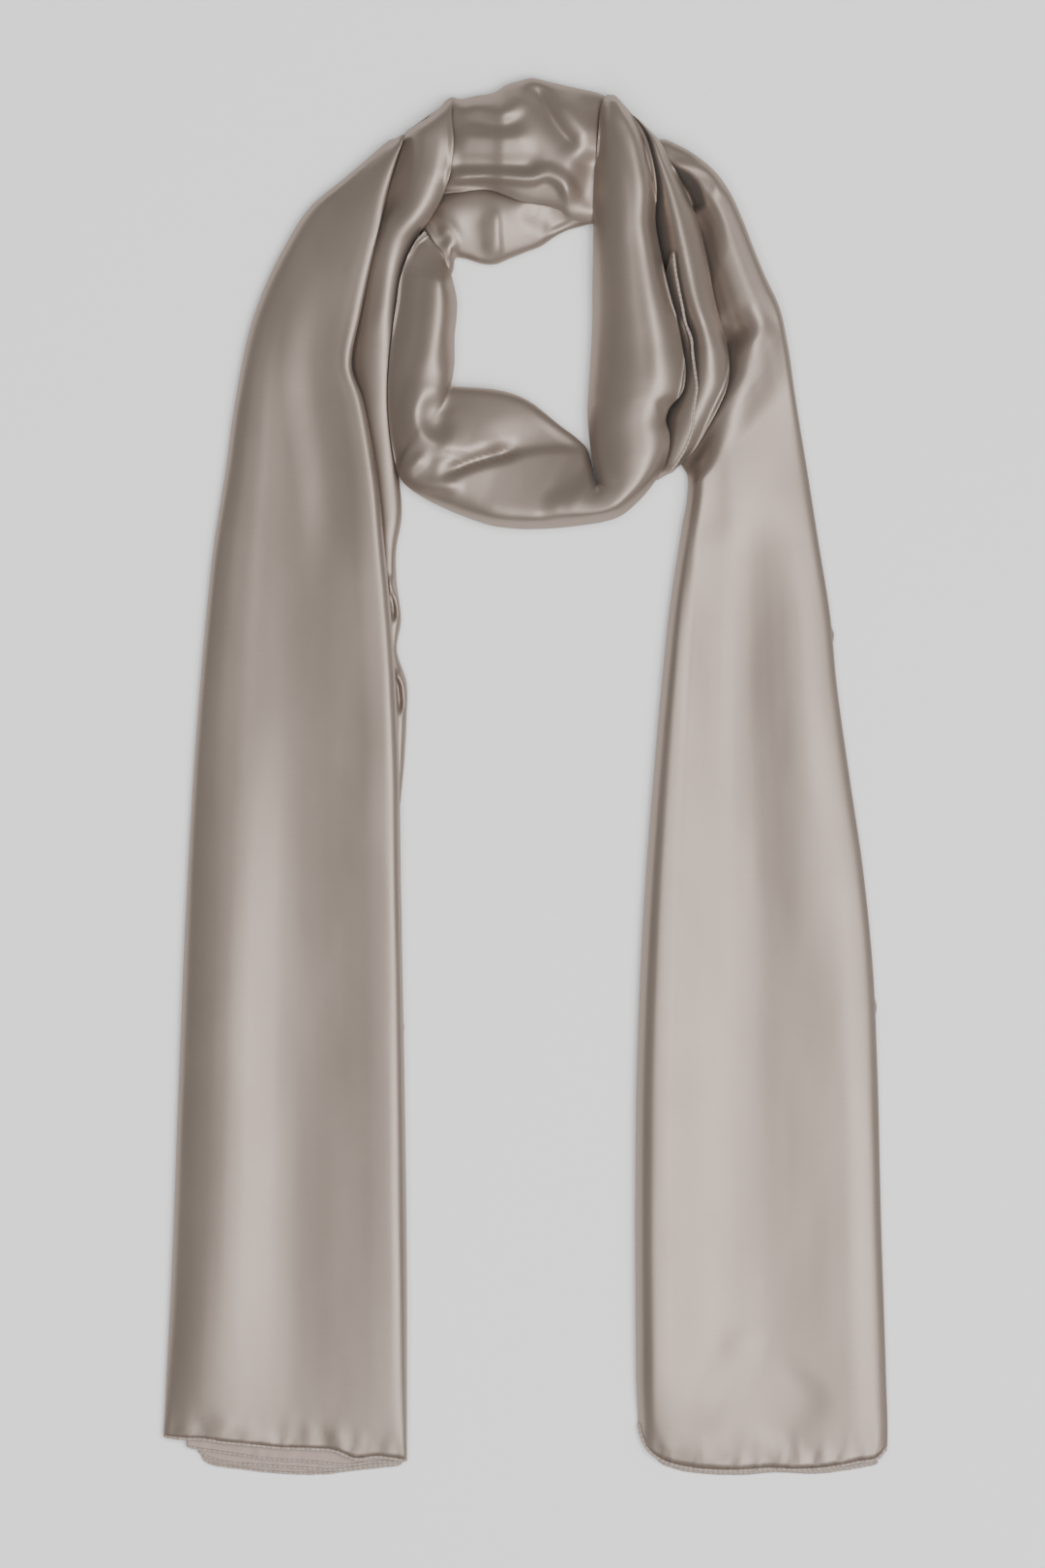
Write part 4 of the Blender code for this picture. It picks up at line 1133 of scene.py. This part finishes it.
def loop_strip() -> Stretch:
    """Returns the loop: its right arm over everything, the turn into the pouch, and its left arm."""
    return Stretch(
        name="loop_cloth", nodes=("loop_right", "loop_bottom", "loop_left"), roll=4.8, groove=1.4,
        grain=1.05, step=1.2, wall=0.6, start_round=5, finish_round=6,
        forms=((0, dome(0.5, 2.0, 2.4)), (4, dome(0.6, 2.1, 2.5)), (15, dome(0.64, 2.1, 2.6)),
               (20, dome(0.6, 2.0, 2.6)), (23, dome(0.64, 1.8, 2.6)), (26, dome(0.82, 1.3, 2.4)),
               (29, dome(0.85, 1.25, 2.4)), (31.5, dome(0.74, 1.9, 2.6)), (33, dome(0.7, 1.9, 2.5)),
               (40, dome(0.4, 2.7, 2.1)), (43, dome(0.38, 2.8, 2.1))),
        sections=(
            (42, 351.5, 46, 351.5, 18, 20, 18), (39.5, 347, 50.5, 346.5, 18, 24, 18),
            (38.2, 340, 55, 340.5, 18, 27, 19), (37.5, 330, 61, 331, 18, 28.5, 20),
            (36.5, 318, 65, 319, 17, 29, 20), (35.3, 303, 67.5, 304, 16, 29.5, 21),
            (35, 285, 67, 285, 15, 29.5, 21), (34.8, 268, 70, 268, 14, 29, 21),
            (34.5, 251, 73.7, 251, 13, 29, 21), (34.5, 234, 78, 235, 12, 28.5, 21),
            (33.8, 219, 81, 220, 12, 28, 21), (33, 207, 82.5, 206.5, 12, 28, 21),
            (32.4, 197, 80.5, 197, 12, 27.5, 21), (32, 189, 74.5, 190, 13, 27, 21),
            (32.2, 182, 72.3, 184, 14, 27, 21), (33, 173, 74, 176.5, 15, 27, 20),
            (34.3, 164, 73.8, 168, 16, 27, 19), (36, 157, 70.5, 158, 18, 26.5, 17),
            (37.2, 152.6, 65, 149.5, 20, 26, 15), (37.4, 151, 58, 141.5, 20, 25.5, 13),
            (37.3, 150.8, 48.5, 134, 20, 25, 13.5), (37, 150.8, 39, 131, 19, 24, 13.5),
            (36.4, 152, 30, 129.7, 17, 23, 13.5), (35.4, 156, 20, 128.6, 14.5, 22, 13.5),
            (34, 162, 12, 128, 11, 21.5, 13.5), (31.5, 169.5, 5.5, 127.8, 10, 21.5, 13.5),
            (25.5, 175.5, 0, 127.7, 9.5, 21.5, 13.5), (18.2, 181, -5, 127.9, 9.5, 21.5, 13.5),
            (11, 187, -11, 128.3, 9.5, 21.5, 13.5), (3.5, 192.8, -18, 129.5, 10, 21.5, 13.5),
            (-5, 197, -26, 132, 11, 21.2, 13.5), (-15, 199.6, -34, 135, 12, 21.2, 13.5),
            (-25, 200.6, -41.5, 138.2, 13, 21.2, 13.5), (-32.5, 201, -49, 141.8, 13, 21, 13.5),
            (-36.8, 201.2, -55, 145.2, 13, 20.5, 13.5), (-38.2, 201.6, -59.5, 148.4, 13, 20.5, 13.5),
            (-38.2, 202.4, -63, 151.5, 13, 20.5, 13.5), (-38, 203.6, -65.6, 156, 13, 20.5, 13.5),
            (-37.4, 205.8, -67.4, 162, 13, 20.5, 9), (-37, 209, -69, 171, 13, 20.5, 10),
            (-36.5, 213.5, -70.5, 184, 13, 20.5, 11), (-36.5, 220.5, -71, 199, 13, 20.5, 12),
            (-36.4, 228, -70.2, 213, 13, 20.5, 13), (-35.4, 237, -68.6, 228, 13, 20.5, 13),
            (-35.3, 246, -66.5, 243, 13, 20.5, 13), (-36.8, 253.5, -64.5, 256, 13, 20.5, 14),
            (-38.5, 259.5, -61.5, 266, 13, 18, 15.5), (-41, 265, -57, 275, 12, 15, 13.5),
            (-43.5, 271, -52, 281, 11.5, 12.5, 12),
        ),
        folds=(
            Fold(0.9, 14, 9, ((49, 343), (56, 322), (62, 300), (63, 275), (65, 250), (68, 225), (69, 205),
                              (66, 190)), 0.2),
            Fold(-3.0, 6, 8, ((80, 191), (75, 188.5), (69, 186))),
            Fold(1.6, 12, 12, ((44, 158), (36, 150), (28, 144), (18, 138), (8, 134)), 0.25),
            Fold(1.6, 12, 10, ((-43, 266), (-45, 250), (-46, 236), (-48, 222), (-50, 212), (-51, 202)),
                 0.25),
            Fold(1.6, 13, 11, ((-50, 210), (-54, 200), (-57, 190), (-56, 181), (-50, 175), (-40, 171.5),
                               (-28, 170.5)), 0.25),
            Fold(-2.4, 14, 9, ((-43, 198), (-47, 191), (-49.5, 186), (-48.5, 181.5), (-44, 178.5),
                               (-36, 176.5)), 0.4),
            Fold(-4.5, 8, 4.5, ((-45, 155), (-36, 158.2), (-25.5, 162.2), (-10.5, 166.3), (0, 168.8)), 0.3,
                 Form.CREASE),
            Fold(-1.8, 20, 3.6, ((-20, 163.6), (-10.5, 166.3), (0, 168.8), (10, 170.3), (22, 170.6),
                                 (33, 170)), 0.2),
            Fold(1.8, 6, 5, ((-48, 166), (-54, 163.5), (-59.5, 158.5), (-61.5, 154), (-58.5, 151),
                             (-51, 149.5), (-41, 149.5), (-31, 149)), 0.2),
            Fold(-1.0, 2.0, 2.0, ((-48, 165), (-38, 165.7), (-28, 164.6)), 0.4, Form.CREASE),
        ),
        waves=(Waves(0.3, 22, 40, 31.0),),
        rests_on=("loop_fold_cloth", "hem_flap_cloth", "neck_band_cloth", "left_tail_fold_cloth",
                  "inner_band_cloth"),
    )


def loop_fold() -> Stretch:
    """Returns the second pleat on the right, between the arm and the shoulder."""
    return Stretch(
        name="loop_fold_cloth", nodes=("loop_fold",), roll=3.4, groove=1.1, grain=1.1, step=1.6,
        forms=((0, dome(0.5, 2.0, 2.2)),), start_round=5, finish_round=6,
        sections=(
            (52.5, 343, 55, 341.5, 17, 19, 16), (57, 337, 61.5, 335.5, 17, 22, 17),
            (61.5, 329, 68.5, 328, 17, 24, 18), (63, 318, 74.3, 317, 14, 25, 18),
            (65, 303, 82, 303, 9, 25, 18), (66.5, 290, 88, 288, 8, 25, 18),
            (68.5, 276, 91.7, 275, 8, 25, 18), (71, 262, 94.5, 262, 8, 25, 18),
            (74, 249, 96.8, 249, 8, 25, 18), (78, 239, 99.2, 239, 8, 25, 18),
            (82, 230, 101.7, 230, 9, 24.5, 18), (83.5, 221, 104, 221, 10, 24.5, 18),
            (83, 211, 105, 212, 12, 24, 17), (82, 201, 104, 201.5, 16, 23.5, 17),
            (79, 190, 99.5, 190, 15, 22, 15), (76, 178, 93, 178, 13, 19.5, 13),
            (73, 166, 85.7, 166.5, 11, 16, 11), (71, 156, 76, 157, 8, 12, 8),
        ),
        folds=(
            Fold(0.8, 7, 6, ((66, 324), (72, 306), (78, 285), (83, 264), (88, 242), (93, 222), (94, 205))),
        ),
        waves=(Waves(0.25, 14, 36, 41.0),),
        rests_on=("right_tail_cloth",),
    )


def hem_flap() -> Stretch:
    """Returns the hemmed edge that shows beside the right arm."""
    return Stretch(
        name="hem_flap_cloth", nodes=("loop_hem",), edges=1, roll=1.3, groove=0.5, grain=1.0, step=1.3,
        forms=((0, dome(0.8, 1.3, 2.0)),), wall=1.4, start_round=5, finish_round=5, reach=1.6,
        sections=(
            (75, 270, 76, 270, 13, 14, 14), (73, 262, 76.8, 262, 8, 17, 18),
            (72.5, 252, 78.5, 252, 8, 18.5, 21), (75, 241, 80.6, 242, 8, 19, 22),
            (77, 231, 82.3, 233.5, 8, 19, 22.5), (79, 223, 85.3, 225, 8, 19, 23),
            (80, 214, 86, 217, 8, 19, 23), (79, 206, 87, 209, 8, 19.5, 23), (77, 197, 88, 200, 8, 20, 23),
            (73, 188, 86.8, 190, 8, 20, 22), (69, 178, 86, 179.5, 8, 19.5, 20),
            (68, 169, 83, 170.5, 8, 18, 17), (68, 161, 78.5, 162.5, 11, 15, 14),
            (68, 153, 73.5, 156, 9, 12, 11),
        ),
        folds=(
            Fold(1.2, 3, 3, ((80, 192), (77, 180), (74, 168), (71, 158))),
            Fold(-1.0, 2, 2, ((82.5, 188), (80.5, 176), (77, 165))),
        ),
        waves=(Waves(0.25, 8, 12, 51.0),),
        rests_on=("right_tail_cloth", "loop_fold_cloth"),
    )


def tail_right() -> Stretch:
    """Returns the right end of the scarf with its shoulder."""
    return Stretch(
        name="right_tail_cloth", nodes=("tail_right",), edges=3, roll=4.2, groove=1.4, grain=1.25, step=2.8,
        fine=(12, 1.1), start_round=0, finish=End.HEM,
        forms=((3, RIGHT_SHOULDER_TOP), (5, RIGHT_SHOULDER_TOP), (7, RIGHT_SHOULDER_FORM),
               (9, RIGHT_SHOULDER_FORM), (10.4, RIGHT_SHOULDER_LOW), (12, RIGHT_TAIL_TOP),
               (16, RIGHT_TAIL_FORM), (21, RIGHT_TAIL_LOW)),
        sections=(
            (53, 284.5, 53.5, 319, 8, 12, 9), (58, 272, 62.5, 325, 6, 15, 12),
            (60, 259, 70, 328.6, 5, 17, 13.5), (62, 246, 78.5, 325.5, 4, 18, 14.5),
            (64.5, 232, 88, 320, 4, 18.5, 15), (67, 219, 98, 311.5, 4, 19, 15),
            (70, 206, 105.5, 301, 4, 19, 15), (72, 193, 112, 287, 4, 19, 15),
            (74.5, 181, 118, 271.5, 4, 19, 15), (77, 170, 124, 257, 5, 19, 15),
            (80, 162, 131, 242, 6, 19, 14.5), (83.5, 155, 135.5, 222, 7, 19.5, 13),
            (83.5, 145, 139, 198, 8, 19.5, 11), (81, 130, 146, 155, 8.5, 19, 9),
            (77.5, 108, 151.5, 120, 9, 16.5, 9), (74, 84, 157, 86, 9, 16.5, 8.5),
            (70.5, 50, 160.5, 50, 9, 16.5, 8.5), (66, -1, 167.5, -1, 9, 16.5, 8),
            (62.5, -45, 174, -45, 9, 16.5, 8), (59.3, -100, 179.5, -100, 9, 16.5, 8),
            (57.5, -149, 181.7, -149, 9, 16.5, 8), (56.7, -230, 183.7, -230, 8.5, 16, 8),
            (57, -295, 185.8, -295, 7.5, 15, 7.5), (57.3, -318, 186.5, -318, 6.5, 13, 7),
            (57.8, -333, 187, -333, 5, 10, 6), (58.2, -344, 187, -344, 3.6, 6.5, 5),
        ),
        folds=(
            Fold(-13, 8, 14, ((72, 306.5), (78, 306), (82.5, 303), (84.5, 297.5), (86, 291)), 0.15),
            Fold(0.8, 5, 5, ((74, 316), (82, 314.5), (90, 313.5), (96, 311), (99, 305), (98, 297)), 0.2),
            Fold(-4.0, 13, 11, ((99, 219), (107, 228), (113, 234), (119, 239)), 0.45),
            Fold(-3.0, 9, 6, ((96, 215), (102, 222.5), (108, 229)), 0.4),
            Fold(1.0, 11, 12, ((105, 209), (113, 218.5), (121, 227.5), (128, 235))),
            Fold(-1.0, 26, 18, ((126, -340), (133, -329), (141, -319), (150, -306))),
            Fold(0.9, 9, 6, ((129, -339), (142, -343), (158, -346), (174, -347)), 0.2),
            Fold(0.9, 16, 14, ((84, -330), (96, -318), (108, -300), (116, -280))),
        ),
        waves=(Waves(0.6, 46, 140, 61.0), Waves(0.06, 16, 40, 66.0)),
        nubs=((1, 251, 7, 1, 1.6), (0, 443, 8, 1, 1.4)),
        hem_lines=(RIGHT_TOP_HEM, RIGHT_LOW_HEM, 44.0),
    )


# The inner plies that show at the two ends
LEAVES = {
    "left": (
        Leaf("left_end_upper_ply", (
            (-175, -345.5), (-166, -347.2), (-150, -349.5), (-130, -352.2), (-110, -353.4), (-92, -355),
            (-76, -353.4), (-63, -353.6)), 4.7, seed=1.0),
        Leaf("left_end_middle_ply", (
            (-169, -348.5), (-160, -352.6), (-142, -355), (-120, -356.4), (-98, -357.6), (-82, -355.6),
            (-63.5, -354.2)), 3.2, seed=2.0),
        Leaf("left_end_lower_ply", (
            (-167.5, -350), (-165, -353.4), (-162.5, -354.6), (-146.5, -357), (-132, -358.8), (-104, -359.6),
            (-89.5, -357.8), (-76.5, -356.4), (-64, -355)), 1.6, seed=3.0),
    ),
    "right": (
        Leaf("right_end_upper_ply", (
            (64, -346.5), (70, -353.6), (80, -357), (92, -358.8), (110, -359.3), (128, -358.2),
            (150, -358.6), (166, -356.4), (181, -353.6)), 2.9, seed=4.0, flutter=0.35),
        Leaf("right_end_lower_ply", (
            (66, -349), (76, -356.2), (90, -359), (112, -359.8), (128, -358.6), (152, -359.2), (166, -357.4),
            (182, -354.6)), 1.5, seed=5.0, flutter=0.3),
    ),
}


@dataclass
class Studio:
    """The plain floor, the soft lights and the camera straight above."""

    floor_grey: float = 0.9
    ambient: float = 0.28
    camera_height: float = 4.5
    frame_height: float = 0.81
    centre: tuple = (-0.0015, -0.00375)
    floor_size: float = 8.0
    floor_drop: float = 0.0004       # keeps the floor clear of the undersides

    def build(self) -> None:
        """Adds the floor, the world, the lights and the camera."""
        self.add_floor()
        self.add_world()
        self.add_softbox("fill", zenith=0, azimuth=0, distance=5.5, size=4.0, power=255, glossy=False)
        self.add_softbox("key", zenith=22, azimuth=-14, distance=3.2, size=1.5, power=52)
        self.add_softbox("near key", zenith=28, azimuth=-78, distance=3.2, size=1.5, power=20)
        self.add_camera()

    def add_floor(self) -> None:
        """Adds the floor, far larger than the view."""
        bpy.ops.mesh.primitive_plane_add(size=self.floor_size, location=(0, 0, -self.floor_drop))
        floor = bpy.context.active_object
        floor.name = "floor"
        material = bpy.data.materials.new("Pale floor")
        material.use_nodes = True
        shader = material.node_tree.nodes["Principled BSDF"]
        shader.inputs["Base Color"].default_value = (self.floor_grey,) * 3 + (1.0,)
        shader.inputs["Roughness"].default_value = 0.9
        shader.inputs["Specular IOR Level"].default_value = 0.1
        floor.data.materials.append(material)

    def add_world(self) -> None:
        """Lights the scene evenly from all round."""
        world = bpy.data.worlds.new("Studio")
        world.use_nodes = True
        background = world.node_tree.nodes["Background"]
        background.inputs["Color"].default_value = (1.0, 1.0, 1.0, 1.0)
        background.inputs["Strength"].default_value = self.ambient
        bpy.context.scene.world = world

    def add_softbox(self, name: str, zenith: float, azimuth: float, distance: float, size: float,
                    power: float, glossy: bool = True) -> None:
        """Adds a square light that faces the scarf.

        Args:
            name: its name.
            zenith: its angle from straight up, in degrees.
            azimuth: its direction seen from above, in degrees, 0 to the right.
            distance: how far off it is.
            size: the length of its side.
            power: its power in watts.
            glossy: whether the satin mirrors it.
        """
        light = bpy.data.lights.new(name, "AREA")
        light.size = size
        light.energy = power
        lamp = bpy.data.objects.new(name, light)
        tilt = math.radians(zenith)
        turn = math.radians(azimuth)
        aim = Vector((math.sin(tilt) * math.cos(turn), math.sin(tilt) * math.sin(turn), math.cos(tilt)))
        lamp.location = aim * distance
        lamp.rotation_euler = aim.to_track_quat("Z", "Y").to_euler()
        lamp.visible_glossy = glossy
        bpy.context.scene.collection.objects.link(lamp)

    def add_camera(self) -> None:
        """Adds the camera, straight above."""
        lens = bpy.data.cameras.new("camera")
        lens.sensor_width = 36.0
        lens.lens = lens.sensor_width * self.camera_height / self.frame_height
        lens.clip_end = 50.0
        camera = bpy.data.objects.new("camera", lens)
        camera.location = (*self.centre, self.camera_height)
        bpy.context.scene.collection.objects.link(camera)
        bpy.context.scene.camera = camera


@dataclass
class Scarf:
    """The whole scarf: its stretches in the order in which they are laid, and its hems."""

    satin: bpy.types.Material
    dull: bpy.types.Material
    hem: bpy.types.Material

    def build(self) -> None:
        """Lays every stretch, lowest first, and finishes the two ends and the hemmed edge."""
        ground = HeightMap(*GROUND)
        self.lay(inner_band(), ground)
        self.lay_end(tail_right(), ground, LEAVES["right"])
        self.lay(neck_band(), ground)
        self.lay(tail_left_fold(), ground)
        self.lay_end(tail_left(), ground, LEAVES["left"])
        self.lay(loop_fold(), ground)
        self.lay_flap(hem_flap(), ground)
        self.lay(loop_strip(), ground)

    def lay(self, stretch: Stretch, ground: HeightMap) -> None:
        """Lays one plain stretch."""
        stretch.dress(stretch.lay(ground), self.satin)

    def add_hem(self, hem: RolledHem, edge: np.ndarray) -> bpy.types.Object:
        """Adds a rolled hem along an edge. Returns its piece."""
        piece = hem.lay(edge)
        dress_piece(piece, self.hem)
        return piece

    def lay_flap(self, stretch: Stretch, ground: HeightMap) -> None:
        """Lays the hemmed flap, with the rolled hem along its right edge.

        Args:
            stretch: the flap.
            ground: the cloth that is already there.
        """
        piece = stretch.lay(ground)
        edge = stretch.top[:, -1].copy()
        edge[:, 2] = stretch.top[:, 1 - ROLL_POINTS:, 2].max(axis=1)
        hem = self.add_hem(RolledHem("loop_rolled_hem", 9.0, width=1.5, height=1.5), edge)
        stretch.dress(piece, self.satin, (hem,))

    def lay_end(self, stretch: Stretch, ground: HeightMap, leaves: tuple) -> None:
        """Lays an end of the scarf, the inner plies that show there and all their hems.

        Args:
            stretch: the end.
            ground: the cloth that is already there.
            leaves: its inner plies.
        """
        piece = stretch.lay(ground)
        edge = stretch.top[-1].copy()
        hem = self.add_hem(RolledHem(stretch.name.replace("cloth", "hem"), len(stretch.name)), edge)
        stretch.dress(piece, self.satin, (hem,))
        for leaf in leaves:
            ply = leaf.lay()
            roll = RolledHem(leaf.name.replace("ply", "hem"), leaf.seed, width=1.5, height=1.0)
            leaf.dress(ply, self.dull, (self.add_hem(roll, leaf.edge),), piece.name)


def main() -> None:
    """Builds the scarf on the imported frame, then the studio round it."""
    logging.basicConfig(level=logging.INFO, format="%(name)s: %(message)s")
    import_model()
    bpy.ops.object.select_all(action="DESELECT")
    weave = satin_weave_group()
    Scarf(SATIN.make(weave), DULL_SATIN.make(weave), HEM.make(weave)).build()
    Studio().build()


if __name__ == "__main__":
    main()
